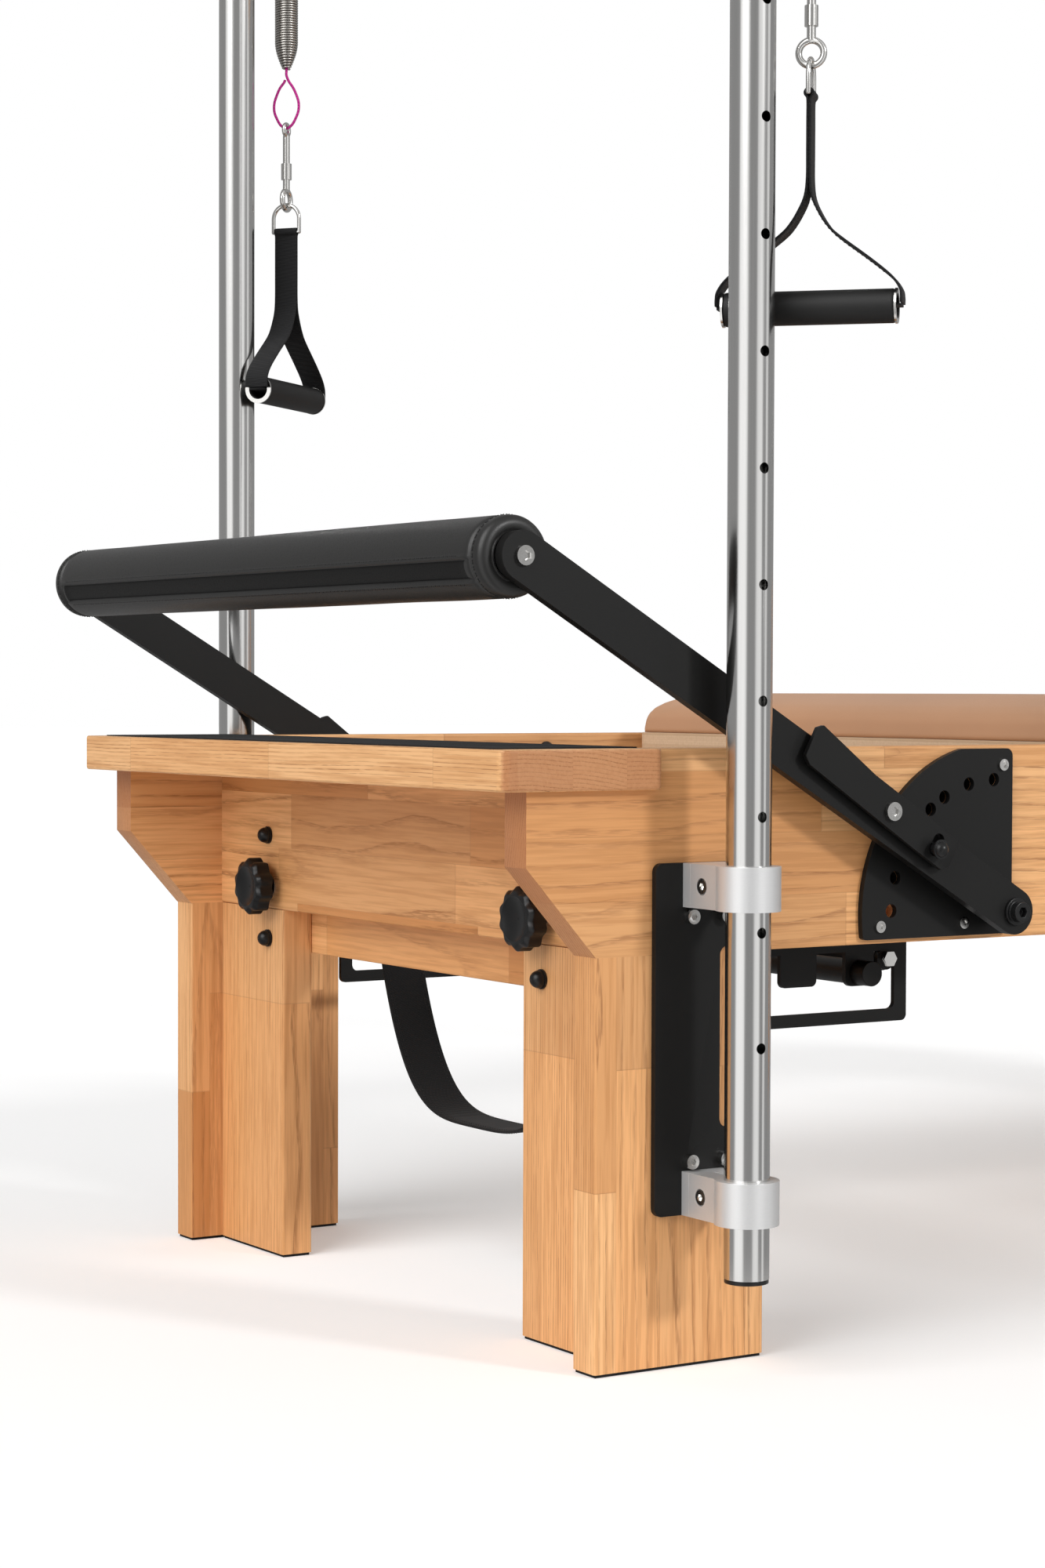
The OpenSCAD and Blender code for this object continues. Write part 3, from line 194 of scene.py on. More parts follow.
def round_section(radius, sides):
    return [(radius * cos(a), radius * sin(a)) for a in round_angles(sides)]


def flat_section(width, thick):
    """Cross-section of webbing: flat, with round edges."""
    r = thick / 2
    half = width / 2 - r
    arc = [(half + r * cos(a), r * sin(a)) for a in arc_angles(-90, 91, 30)]
    shares = (0.6, 0.2, -0.2, -0.6)
    return (arc + [(half * t, r) for t in shares] + [(-a, b) for a, b in reversed(arc)]
            + [(-half * t, -r) for t in shares])


def smooth_line(corners):
    """Catmull-Rom curve through the corners."""
    n = len(corners)
    line = []
    for i in range(n - 1):
        p = [corners[min(max(i + k, 0), n - 1)] for k in (-1, 0, 1, 2)]
        for t in (s / CURVE_STEPS for s in range(CURVE_STEPS)):
            line.append(0.5 * ((2 * p[1]) + (p[2] - p[0]) * t
                               + (2 * p[0] - 5 * p[1] + 4 * p[2] - p[3]) * t * t
                               + (3 * p[1] - p[0] - 3 * p[2] + p[3]) * t * t * t))
    return line + [corners[-1].copy()]


def turned_mesh(profile, centre, axis, sides):
    """Points and faces of a profile of (along, radius) turned about an axis."""
    axis = axis.normalized()
    first = axis.orthogonal().normalized()
    second = axis.cross(first)
    points = [centre + axis * along + radius * (cos(a) * first + sin(a) * second)
              for along, radius in profile for a in round_angles(sides)]
    faces = [face for r in range(len(profile) - 1) for face in ring_faces(r, r + 1, sides)]
    return points, faces


print("a webbing section has", len(flat_section(0.027, 0.0022)), "points")

# %% [markdown]
# ## Finishes
#
# Each finish is a node tree on the principled shader, made from noise in the piece's own space, so
# it needs no picture and no unwrapping. A short function adds a node and wires it in one line.

# %% Material helpers
def new_material(name, **settings):
    mat = bpy.data.materials.new(name)
    mat.use_nodes = True
    shader = mat.node_tree.nodes["Principled BSDF"]
    for socket, value in settings.items():
        shader.inputs[socket.replace("_", " ")].default_value = value
    return mat, shader


def add(mat, kind, inputs=None, **props):
    node = mat.node_tree.nodes.new("ShaderNode" + kind)
    for key, value in props.items():
        setattr(node, key, value)
    for key, value in (inputs or {}).items():
        if isinstance(value, bpy.types.NodeSocket):
            mat.node_tree.links.new(value, node.inputs[key])
        else:
            node.inputs[key].default_value = value
    return node


def wire(mat, source, target):
    mat.node_tree.links.new(source, target)


def maths(mat, operation, a, b=0.0, c=0.0):
    return add(mat, "Math", {0: a, 1: b, 2: c}, operation=operation).outputs[0]


def plus(mat, a, b):
    return maths(mat, "ADD", a, b)


def times(mat, a, b):
    return maths(mat, "MULTIPLY", a, b)


def scaled(mat, value, factor, offset):
    return maths(mat, "MULTIPLY_ADD", value, factor, offset)


def ramp(mat, value, stops):
    node = add(mat, "ValToRGB", {"Fac": value})
    bar = node.color_ramp
    while len(bar.elements) < len(stops):
        bar.elements.new(0.5)
    for element, (place, colour) in zip(bar.elements, stops):
        element.position = place
        element.color = (*colour, 1)
    return node.outputs["Color"]


def grey_ramp(mat, value, stops):
    return ramp(mat, value, [(place, (level,) * 3) for place, level in stops])


def mix(mat, share, a, b):
    node = add(mat, "Mix", data_type="RGBA")
    for key, value in (("Factor", share), ("A", a), ("B", b)):
        socket = next(s for s in node.inputs if s.name == key and s.enabled)
        if isinstance(value, bpy.types.NodeSocket):
            wire(mat, value, socket)
        else:
            socket.default_value = (*value, 1)
    return next(s for s in node.outputs if s.enabled)


def shades(tone, *shares):
    return [tuple(c * share for c in tone) for share in shares]


def own_space(mat):
    return add(mat, "TexCoord").outputs["Object"]


def fine_noise(mat, scale, detail=2.0, roughness=0.5):
    """Noise in the piece's own space; a scale for each axis draws it out."""
    space = own_space(mat)
    if isinstance(scale, tuple):
        space = add(mat, "Mapping", {"Vector": space, "Scale": scale}).outputs["Vector"]
        scale = 1.0
    return add(mat, "TexNoise", {"Vector": space, "Scale": scale, "Detail": detail,
                                 "Roughness": roughness}).outputs["Fac"]


def chance_of(mat, key):
    """A chance from 0 to 1 for each whole number."""
    return add(mat, "TexWhiteNoise", {"W": key}, noise_dimensions="1D").outputs["Value"]


def surface(mat, shader, tone, height, depth, strength, rough=None):
    """Wire a tone, a bump and perhaps a roughness into the shader."""
    dents = add(mat, "Bump", {"Height": height, "Distance": depth, "Strength": strength})
    wire(mat, tone, shader.inputs["Base Color"])
    wire(mat, dents.outputs["Normal"], shader.inputs["Normal"])
    if rough:
        wire(mat, rough, shader.inputs["Roughness"])
    return mat


print("material helpers ready")

# %% [markdown]
# ## Oak
#
# The frame is glued up from oak staves. Each stave has its own tone and its own heart, far outside
# the board, and rings of dark pores run round that heart. A single wood picture would repeat and
# would not turn into rings at a sawn end. So the colour is worked out in space: pick the stave,
# measure the distance to its heart, and draw rings and long pores there.

# %% Staves and rings
FAR_OFF = 10.0        # keeps every stave's number above zero
LAYER = 0.75          # boards further apart than this through their thickness differ
HEART_SPREAD = 0.16   # how far to either side a stave's heart can lie
RING = 0.0037         # width of one year


def pick_stave(mat, along, over, through, stave, length, seed):
    """The point's place in the row and in the run of staves, and the chances of its stave."""
    shifted = maths(mat, "DIVIDE", plus(mat, over, FAR_OFF + seed), stave)
    row = maths(mat, "FLOOR", shifted)
    deep = maths(mat, "FLOOR", maths(mat, "DIVIDE", plus(mat, through, FAR_OFF + 0.02), LAYER))
    run = scaled(mat, chance_of(mat, plus(mat, row, seed)), 7.0,
                 maths(mat, "DIVIDE", along, length))
    key = add(mat, "CombineXYZ", {"X": row, "Y": maths(mat, "FLOOR", run), "Z": deep})
    chance = add(mat, "TexWhiteNoise", {"Vector": key.outputs["Vector"]},
                 noise_dimensions="3D").outputs
    middle = maths(mat, "SUBTRACT", over, times(mat, row, stave))
    return shifted, run, middle, chance


def year_rings(mat, middle, through, parts, wave, ripple, seed):
    """How much early wood there is, from the distance to the stave's heart."""
    heart_over = scaled(mat, parts[0], 2 * HEART_SPREAD, -HEART_SPREAD - FAR_OFF - seed)
    heart_deep = scaled(mat, parts[1], 0.06, 0.03)
    sway = times(mat, ripple, 0.0026)
    u = plus(mat, maths(mat, "SUBTRACT", middle, heart_over), scaled(mat, wave, 0.010, sway))
    v = plus(mat, plus(mat, through, heart_deep), scaled(mat, wave, 0.016, sway))
    radius = maths(mat, "SQRT", plus(mat, times(mat, u, u), times(mat, v, v)))
    rings = maths(mat, "DIVIDE", radius, RING)
    year = chance_of(mat, maths(mat, "FLOOR", rings))
    early = grey_ramp(mat, maths(mat, "FRACT", rings),
                      [(0.0, 1), (0.10, 0.8), (0.26, 0.12), (0.45, 0), (0.94, 0.03), (1.0, 1)])
    return times(mat, early, scaled(mat, year, 0.7, 0.3))


print("rings are", 1000 * RING, "mm wide")

# %% [markdown]
# ## The oak's colours
#
# Over the stave's own tone go a honey tint, fine flecks, a dark line where staves are glued, a
# browner sawn end and at last the pores. The sawn end is partly its own darker colour and partly
# painted shade. The same pores dull the shine and dent the surface.

# %% Oak
PALE, WARM, HONEY = (0.93, 0.50, 0.215), (0.62, 0.265, 0.085), (0.86, 0.56, 0.29)
FLECK, GLUE, PORE = (0.52, 0.225, 0.072), (0.36, 0.155, 0.055), (0.27, 0.100, 0.030)
# The sawn end tones hold the end grain's own darker colour and also painted shade.
SAWN_SHADE_PALE, SAWN_SHADE_DARK = (0.52, 0.240, 0.105), (0.38, 0.140, 0.055)


def oak(name, grain, stave, length, across, seed, pale=PALE, warm=WARM):
    mat, shader = new_material(name, Roughness=0.42, Specular_IOR_Level=0.35)
    split = add(mat, "SeparateXYZ", {"Vector": own_space(mat)}).outputs
    g, a = "xyz".index(grain), "xyz".index(across)
    along, over, through = split[g], split[a], split[3 - g - a]

    def grained(long, wide, detail=2.0, roughness=0.5):
        """Noise drawn out along the grain."""
        scale = tuple(long if axis == grain else wide for axis in "xyz")
        return fine_noise(mat, scale, detail, roughness)

    shifted, run, middle, chance = pick_stave(mat, along, over, through, stave, length, seed)
    parts = add(mat, "SeparateColor", {"Color": chance["Color"]}).outputs
    wave, ripple = grained(1.2, 5.0), grained(9.0, 30.0)
    early = year_rings(mat, middle, through, parts, wave, ripple, seed)
    pores, flecks = grained(55.0, 800.0, 1.0), grained(9.0, 260.0, 3.0, 0.6)
    pore_dark = times(mat, early, grey_ramp(mat, pores, [(0.40, 0.30), (0.56, 1)]))
    tone = mix(mat, chance["Value"], pale, warm)
    tone = mix(mat, times(mat, parts[2], 0.35), tone, HONEY)
    tone = mix(mat, grey_ramp(mat, flecks, [(0.42, 0), (0.62, 0.48)]), tone, FLECK)
    joint = grey_ramp(mat, maths(mat, "FRACT", shifted), [(0.0, 0.45), (0.014, 0)])
    butt = grey_ramp(mat, maths(mat, "FRACT", run), [(0.0, 0.45), (0.0025, 0)])
    tone = mix(mat, maths(mat, "MAXIMUM", joint, butt), tone, GLUE)
    normal = add(mat, "TexCoord").outputs["Normal"]
    facing = maths(mat, "ABSOLUTE", add(mat, "SeparateXYZ", {"Vector": normal}).outputs[g])
    end_grain = grey_ramp(mat, facing, [(0.45, 0), (0.8, 1)])
    # Sawn end colour: the end grain's own darkness plus painted shade.
    sawn_and_shade = mix(mat, chance["Value"], SAWN_SHADE_PALE, SAWN_SHADE_DARK)
    tone = mix(mat, times(mat, end_grain, 0.80), tone, sawn_and_shade)
    drawn = times(mat, pore_dark, scaled(mat, end_grain, 0.10, 0.74))
    return surface(mat, shader, mix(mat, drawn, tone, PORE), times(mat, pore_dark, -1.0), 0.00025,
                   0.5, grey_ramp(mat, pore_dark, [(0, 0.40), (1, 0.62)]))


oak_long = oak("oak_along", "x", 0.0567, 0.43, "z", 0.3)
oak_cross = oak("oak_across", "y", 0.0567, 0.36, "z", 1.7)
oak_plank = oak("oak_plank", "y", 0.0563, 0.31, "x", 3.1, pale=(0.90, 0.52, 0.25),
                warm=(0.76, 0.40, 0.165))
oak_up = oak("oak_upright", "z", 0.047, 0.34, "x", 5.2)
oak_bar = oak("oak_bar", "y", 0.2, 2.0, "z", 7.4)
print("oak for", [m.name for m in (oak_long, oak_cross, oak_plank, oak_up, oak_bar)])

# %% [markdown]
# ## Plywood
#
# The carriage board shows a pale edge of thin plies. Its layers are flat sheets through the
# thickness, so a stripe over Z with a little waviness is enough, and a faint grain runs along.

# %% Plywood
PLY = 0.0026          # thickness of one sheet
PLY_TONES = [(0.0, (0.50, 0.33, 0.20)), (0.5, (0.66, 0.47, 0.31)), (1.0, (0.76, 0.58, 0.40))]
PLY_GRAIN, PLY_GLUE = (0.55, 0.38, 0.23), (0.38, 0.25, 0.15)


def plywood(name):
    mat, shader = new_material(name, Roughness=0.5, Specular_IOR_Level=0.35)
    height = add(mat, "SeparateXYZ", {"Vector": own_space(mat)}).outputs["Z"]
    wave = fine_noise(mat, 3.0)
    layer = maths(mat, "DIVIDE", plus(mat, height, times(mat, wave, 0.001)), PLY)
    tone = ramp(mat, chance_of(mat, maths(mat, "FLOOR", layer)), PLY_TONES)
    grain = fine_noise(mat, (12, 300, 300), 3.0)
    tone = mix(mat, grey_ramp(mat, grain, [(0.4, 0), (0.75, 0.5)]), tone, PLY_GRAIN)
    seam = grey_ramp(mat, maths(mat, "FRACT", layer), [(0.0, 0.7), (0.12, 0)])
    tone = mix(mat, times(mat, seam, 0.5), tone, PLY_GLUE)
    return surface(mat, shader, tone, times(mat, seam, -1.0), 0.0001, 0.4)


ply = plywood("birch_ply")
print("plywood with sheets of", 1000 * PLY, "mm")

# %% [markdown]
# ## Metals
#
# Posts and tubes are brushed stainless: the polishing belt leaves fine lines along the tube. The
# clamps are matt aluminium and the screws are bright. One function makes them all, since they only
# differ in tone, in roughness and in the way the lines run.

# %% Metals
STAINLESS = (0.66, 0.655, 0.645)


def brushed(name, tone, roughness, lines, line_scale=900.0, contrast=0.12, metal=1.0):
    """Brushed metal; lines names the axis that the lines run along, or none."""
    mat, shader = new_material(name, Metallic=metal)
    scale = tuple(6.0 if axis == lines else line_scale for axis in "xyz")
    streaks = fine_noise(mat, scale, 3.0, 0.6)
    cloud = fine_noise(mat, 9.0, 3.0)
    rough = scaled(mat, cloud, 0.04, scaled(mat, streaks, 0.08, roughness - 0.05))
    tone = mix(mat, streaks, *shades(tone, 1 - contrast, 1))
    return surface(mat, shader, tone, streaks, 0.00002, 0.6, rough)


steel_up = brushed("brushed_steel_up", STAINLESS, 0.15, "z")
steel_long = brushed("brushed_steel_along", STAINLESS, 0.15, "x")
steel_cross = brushed("brushed_steel_across", STAINLESS, 0.15, "y")
spring_wire = brushed("spring_wire", (0.50, 0.48, 0.45), 0.30, "none", 400.0)
bright = brushed("bright_steel", (0.72, 0.71, 0.69), 0.16, "none", 500.0, 0.08)
aluminium = brushed("brushed_aluminium", (0.70, 0.70, 0.70), 0.42, "x", 700.0, 0.08, metal=0.55)
print("metals ready")

# %% [markdown]
# ## Black finishes
#
# Nearly half of the fittings are black, and they only read as different things by their sheen:
# powder coat has a fine orange peel, moulded knobs are smoother, rubber is dull, and grip tape is
# gritty. Each gets its own roughness and its own grain size.

# %% Black finishes
def black(name, tone, roughness, grain, depth, specular, spread=0.25):
    mat, shader = new_material(name, Roughness=roughness, Specular_IOR_Level=specular)
    speckle = fine_noise(mat, grain, 3.0, 0.6)
    cloud = fine_noise(mat, 14.0, 2.0)
    share = scaled(mat, cloud, 0.5, times(mat, speckle, 0.5))
    tone = mix(mat, share, *shades(tone, 1 - spread, 1 + spread))
    return surface(mat, shader, tone, speckle, depth, 0.7,
                   scaled(mat, speckle, 0.16, roughness - 0.08))


powder_coat = black("black_powder_coat", (0.0075, 0.0073, 0.0070), 0.42, 900.0, 0.00006, 0.22)
moulded = black("black_moulded", (0.0080, 0.0080, 0.0083), 0.32, 500.0, 0.00002, 0.30)
rubber = black("black_rubber", (0.012, 0.012, 0.012), 0.75, 300.0, 0.0001, 0.2)
grit = black("black_grit", (0.016, 0.016, 0.0165), 0.85, 650.0, 0.0006, 0.25, spread=0.9)
foam = black("black_foam", (0.010, 0.0098, 0.0096), 0.55, 1400.0, 0.00008, 0.3)
print("black finishes ready")

# %% [markdown]
# ## Vinyl
#
# The roll and the pads are covered in vinyl. Its grain is a net of small cells, which a Voronoi
# pattern gives at about a millimetre, with broad soft folds over it. The tan varies a little.

# %% Vinyl
def vinyl(name, tone, roughness, cell=750.0, sheen=0.03, specular=0.45):
    mat, shader = new_material(name, Specular_IOR_Level=specular, Sheen_Weight=sheen,
                               Sheen_Roughness=0.4)
    cells = add(mat, "TexVoronoi", {"Vector": own_space(mat), "Scale": cell}).outputs["Distance"]
    cloud = fine_noise(mat, 7.0, 3.0)
    return surface(mat, shader, mix(mat, cloud, *shades(tone, 0.88, 1.10)),
                   scaled(mat, cloud, 2.0, times(mat, cells, -1.0)), 0.00012, 0.35,
                   scaled(mat, cells, 0.14, roughness - 0.05))


# A darker, duller vinyl for the strip on the roll's lower side: painted shade for the underside.
shaded_strip_vinyl = vinyl("shaded_strip_vinyl", (0.0060, 0.0058, 0.0056), 0.50, specular=0.15)
black_vinyl = vinyl("black_vinyl", (0.0140, 0.0136, 0.0130), 0.38, specular=0.42)
tan_vinyl = vinyl("tan_vinyl", (0.53, 0.285, 0.155), 0.46, 900.0, sheen=0.10)
print("vinyl ready")

# %% [markdown]
# ## Webbing, thread and cord
#
# Webbing is woven: thin ribs run across it and a few warp lines along it. Two waves in the piece's
# own space give that at 1.3 mm. Thread is the same black, and the loop cord is a magenta braid.

# %% Woven finishes
BAND_SCALE = 0.314    # a wave texture of this scale over a width draws bands that far apart


def woven(name, tone, rib=0.0013, depth=0.0002):
    mat, shader = new_material(name, Roughness=0.72, Specular_IOR_Level=0.2, Sheen_Weight=0.06,
                               Sheen_Roughness=0.5)
    wave = add(mat, "TexWave", {"Vector": own_space(mat), "Scale": BAND_SCALE / rib,
                                "Distortion": 0.8, "Detail": 1.0, "Detail Scale": 2.0},
               bands_direction="Z").outputs["Fac"]
    warp = add(mat, "TexWave", {"Vector": own_space(mat), "Scale": BAND_SCALE / rib / 1.6,
                                "Distortion": 0.5}, bands_direction="DIAGONAL").outputs["Fac"]
    height = times(mat, plus(mat, wave, 0.3), plus(mat, warp, 0.4))
    return surface(mat, shader, mix(mat, height, *shades(tone, 0.55, 1.35)), height, depth, 0.8)


webbing = woven("black_webbing", (0.0085, 0.0085, 0.0090))
thread = woven("black_thread", (0.018, 0.018, 0.018), 0.0006)
cord_braid = woven("magenta_braid", (0.50, 0.025, 0.25), 0.0011, depth=0.00015)
print("woven finishes ready")

# %% [markdown]
# ## The two loops of cord
#
# A short magenta cord joins each hanging spring to its snap link: down from the spring's end, round
# a lens-shaped loop and back to its own knot. It is a fixed length of limp cord, drawn as a tube
# along the drawing's route, and its length is printed.

# %% Cord loops
HANG_X, POST_Y = 278, 486
SIDES = {"near": (-1, radians(-46)), "far": (1, radians(38))}
CORD_ROUTE = [(0, 1308), (0, 1302), (0, 1297), (-3, 1290), (-8, 1283), (-12, 1275), (-15, 1266),
              (-15, 1257), (-12, 1249), (-7, 1241), (0, 1237), (7, 1241), (12, 1249), (15, 1257),
              (15, 1266), (12, 1275), (8, 1283), (3, 1289), (1.6, 1292)]
CORD_DIAMETER = 0.003


def hung(side, x, y, z):
    """A point in a handle's own frame, in millimetres, to the table's frame."""
    sign, angle = SIDES[side]
    return at(HANG_X + x * cos(angle) - y * sin(angle),
              sign * POST_Y + x * sin(angle) + y * cos(angle), z)


def line_length(line):
    return sum((b - a).length for a, b in zip(line, line[1:]))


for side in SIDES:
    route = smooth_line([hung(side, 0, y, z) for y, z in CORD_ROUTE])
    loop = make_piece("cord_loop_braid_" + side,
                      *swept_mesh(route, round_section(CORD_DIAMETER / 2, 10)), cord_braid)
    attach(loop, "handle_" + side)
    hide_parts("cord_loop_" + side)
    print(side, "loop", round(line_length(route), 3), "m of cord")

# %% [markdown]
# ## Finishing the rigid parts
#
# The rigid parts keep the drawing's shape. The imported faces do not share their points, so a weld
# comes first. Then faces in one plane are joined, since thin slivers spoil the shading. Machined
# and painted edges are never razor sharp, so a small bevel catches the light on them, and what is
# still sharp after it is split, so that no shading runs over an edge.

# %% Dressing a part
SAME_POINT = 0.00001
SAME_PLANE, SHARP_EDGE, BEVEL_OVER, SMOOTH_UNDER = (radians(d) for d in (0.8, 20, 30, 35))


def dress(node, mat, bevel):
    """One finish for a rigid part, with clean faces and a fine bevel."""
    part = nodes[node]
    part.data.materials.clear()
    part.data.materials.append(mat)
    glue = part.modifiers.new("weld", "WELD")
    glue.merge_threshold = SAME_POINT
    flat = part.modifiers.new("flat", "DECIMATE")
    flat.decimate_type = "DISSOLVE"
    flat.angle_limit = SAME_PLANE
    if bevel:
        edge = part.modifiers.new("edge", "BEVEL")
        edge.width = bevel
        edge.segments = 2
        edge.limit_method = "ANGLE"
        edge.angle_limit = BEVEL_OVER
        edge.use_clamp_overlap = True
    split = part.modifiers.new("split", "EDGE_SPLIT")
    split.split_angle = SHARP_EDGE


def shade(node):
    """Smooth shading up to an angle, on a CAD node's own mesh."""
    mesh = nodes[node].data
    mesh.shade_smooth()
    mesh.set_sharp_from_angle(angle=SMOOTH_UNDER)


FINISHES = [        # bevels in tenths of a millimetre
    (oak_long, {"side_rails": 15}), (oak_cross, {"cross_rails": 15}), (oak_up, {"legs": 15}),
    (oak_plank, {"standing_platform": 20}), (oak_bar, {"trapeze_bar": 20}),
    (ply, {"carriage_board": 10, "headrest_board": 10}), (grit, {"grip_tape": 0}),
    (steel_up, {"posts": 4, "push_bar": 0}), (steel_long, {"canopy_tubes": 0}),
    (steel_cross, {"slider_bar": 0, "footbar_core": 0}),
    (bright, {"wheel_forks": 4, "steel_screws": 4, "eye_bolts": 0, "footbar_bolts": 5,
              "handle_hardware_near": 0, "handle_hardware_far": 0, "headrest_hinge": 3}),
    (aluminium, {"post_clamps": 6, "corner_fittings": 6, "track_rails": 4, "slider_collars": 8}),
    (powder_coat, {"post_plates": 8, "sector_plates": 7, "under_bed_brackets": 6,
                   "spring_bars": 6, "footbar_arms": 12, "lock_lever_near": 9,
                   "lock_lever_far": 9, "spring_anchor": 6, "shoulder_brackets": 8}),
    (moulded, {"pivot_bolts": 6, "post_caps": 6, "cap_nuts": 5, "star_knob_near": 9,
               "star_knob_far": 9, "lock_pin_near": 5, "lock_pin_far": 5, "foot_wheels": 5,
               "head_wheels": 5}),
    (rubber, {"foot_pads": 4, "carriage_stops": 8}),
]
dressed = [(node, mat, width) for mat, parts in FINISHES for node, width in parts.items()]
for node, mat, width in dressed:
    dress(node, mat, width / 10000)
    shade(node)
print("dressed", len(dressed), "parts")

# %% [markdown]
# ## Lock holes
#
# The row of holes that the lock pins drop into goes on into the rail. Deep in the bores lies
# shadow, so each gets a thin black cup, which is painted shade. A darker material on the rail would
# stain the oak too.

# %% Lock hole cups of painted shade
PIVOT, LOCK_R, HOLE_R, HOLE_DEPTH = (551, 395), 122.7, 6.3, 9
LOCK_ANGLES = (164.1, 149.7, 128.5, 119.2, 104.3, 89.8)
CLEAR, SUNK, WALL, BOTTOM, CUP_SIDES = 0.05, 0.1, 0.3, 0.4, 24
cup_profile = [(CLEAR - HOLE_DEPTH, HOLE_R - CLEAR), (-SUNK, HOLE_R - CLEAR),
               (-SUNK, HOLE_R - WALL), (BOTTOM - HOLE_DEPTH, HOLE_R - WALL)]
shade_cups = []
for sign in (-1, 1):
    for a in map(radians, LOCK_ANGLES):
        mouth = at(PIVOT[0] + LOCK_R * cos(a), sign * HALF_WIDTH, PIVOT[1] + LOCK_R * sin(a))
        points, faces = turned_mesh([(u / 1000, r / 1000) for u, r in cup_profile], mouth,
                                    Vector((0, sign, 0)), CUP_SIDES)
        shade_cups.append((points, faces + end_faces(points, CUP_SIDES)))
# Black cups stand in for the shadow deep in the bores: painted shade.
hole_shade_cups = make_piece("lock_hole_shade_cups", *joined(shade_cups), powder_coat, smooth=False)
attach(hole_shade_cups, "frame")
print(len(shade_cups), "shade_cups")

# %% [markdown]
# ## Springs
#
# A hanging spring is one long wire wound with its turns touching, drawn in to a cone at each end.
# The carriage springs are the same, lying under the bed. A screw modifier could wind them, but here
# a tube is swept along a helix, with its turns spread evenly from end to end.

# %% Hanging springs
TURN_POINTS = 12
SPRING_TOP, SPRING_LOW, SPRING_OUT, SPRING_WIRE = 2071.7, 1303, 27, 2.6


def helix(start, end, radius, pitch, taper, low):
    """Points of a wound wire from start to end; it narrows to the share low over its taper."""
    axis = end - start
    length = axis.length
    axis.normalize()
    first = axis.orthogonal().normalized()
    second = axis.cross(first)
    turns = length / pitch
    count = int(turns * TURN_POINTS)
    line = []
    for t in (i / count for i in range(count + 1)):
        inward = min(t, 1 - t) * length
        r = radius * (low + (1 - low) * sin(min(inward / taper, 1.0) * pi / 2))
        a = 2 * pi * turns * t
        line.append(start + axis * length * t + r * (cos(a) * first + sin(a) * second))
    return line


for side in SIDES:
    wire_line = helix(hung(side, 0, 0, SPRING_TOP - SPRING_WIRE / 2),
                      hung(side, 0, 0, SPRING_LOW + SPRING_WIRE / 2),
                      (SPRING_OUT - SPRING_WIRE) / 2000, pitch=0.00272, taper=0.030, low=0.30)
    spring = make_piece("hanging_spring_" + side,
                        *swept_mesh(wire_line, round_section(SPRING_WIRE / 2000, 6)), spring_wire)
    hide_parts("arm_spring_" + side)
    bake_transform(spring)
    print(spring.name, len(spring.data.polygons), "faces")

# %% Springs under the bed
STAY, ANCHOR = (513, 342), (1014, 392)
STAY_ROD, ANCHOR_ROD, HOOK_WIRE = 0.0120, 0.0070, 0.0019
COIL_FROM, SHANK_FROM = 0.040, 0.044
coils = []
for y in range(-160, 161, 80):
    a, b = at(STAY[0], y, STAY[1]), at(ANCHOR[0], y, ANCHOR[1])
    run = (b - a).normalized()
    coil = helix(a + run * COIL_FROM, b - run * COIL_FROM, 0.0115, pitch=0.0034, taper=0.016,
                 low=0.22)
    coils.append(swept_mesh(coil, round_section(0.0014, 6)))
    for end, sign, rod in ((a, 1, STAY_ROD), (b, -1, ANCHOR_ROD)):
        eye = [end + (rod + 0.0023) * (cos(t) * run * -sign + sin(t) * run.cross(Y_AXIS))
               for t in round_angles(24)[:-1]]
        shank = [end + run * sign * SHANK_FROM, end + run * sign * (rod + 0.0075)]
        coils.append(swept_mesh(eye, round_section(HOOK_WIRE, 8), closed=True, side=Y_AXIS))
        coils.append(swept_mesh(smooth_line(shank), round_section(HOOK_WIRE, 8)))
bed_springs = make_piece("bed_springs", *joined(coils), spring_wire)
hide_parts("carriage_springs")
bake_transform(bed_springs)
print(bed_springs.name, len(bed_springs.data.polygons), "faces")

# %% [markdown]
# ## Stitches
#
# A row of stitches is a row of short threads along a line, each dipping at both ends. A texture of
# dashes would be quicker but lie flat.

# %% Rows of stitches
JUST_OVER = 0.0001


def stitch_row(line, across, offset, over, length=0.0028, gap=0.0016, radius=0.00035):
    """A row of sewn stitches: short threads that dip at both ends, beside a line."""
    parts, walked = [], 0.0
    for a, b in zip(line, line[1:]):
        walked += (b - a).length
        if walked >= length + gap:
            walked = 0.0
            onward = (b - a).normalized()
            lift = onward.cross(across).normalized() * over
            centre = b + across * offset
            dip = 1.6 * radius / max(abs(over), radius)
            arc = [centre + onward * length * (t - 0.5) + lift * (1 - dip * (2 * t - 1) ** 2)
                   for t in (0, 0.25, 0.5, 0.75, 1)]
            parts.append(swept_mesh(arc, round_section(radius, 5)))
    return parts


def resampled(line, step):
    """The same line with its points a fixed step apart."""
    result, walked = [line[0].copy()], 0.0
    for a, b in zip(line, line[1:]):
        d = (b - a).length
        while walked + d >= step:
            a = a.lerp(b, (step - walked) / d)
            result.append(a.copy())
            d = (b - a).length
            walked = 0.0
        walked += d
    return result


print("stitches of 2.8 mm, 1.6 mm apart")

# %% [markdown]
# ## Handle webbing
#
# One length of webbing goes up one side, over the D ring and down the other, sewn together under
# the ring, and it spreads to the two ends of the grip. Webbing is stiff across its width, so the
# band keeps the grip's sideways direction all the way and only its thin side bends.

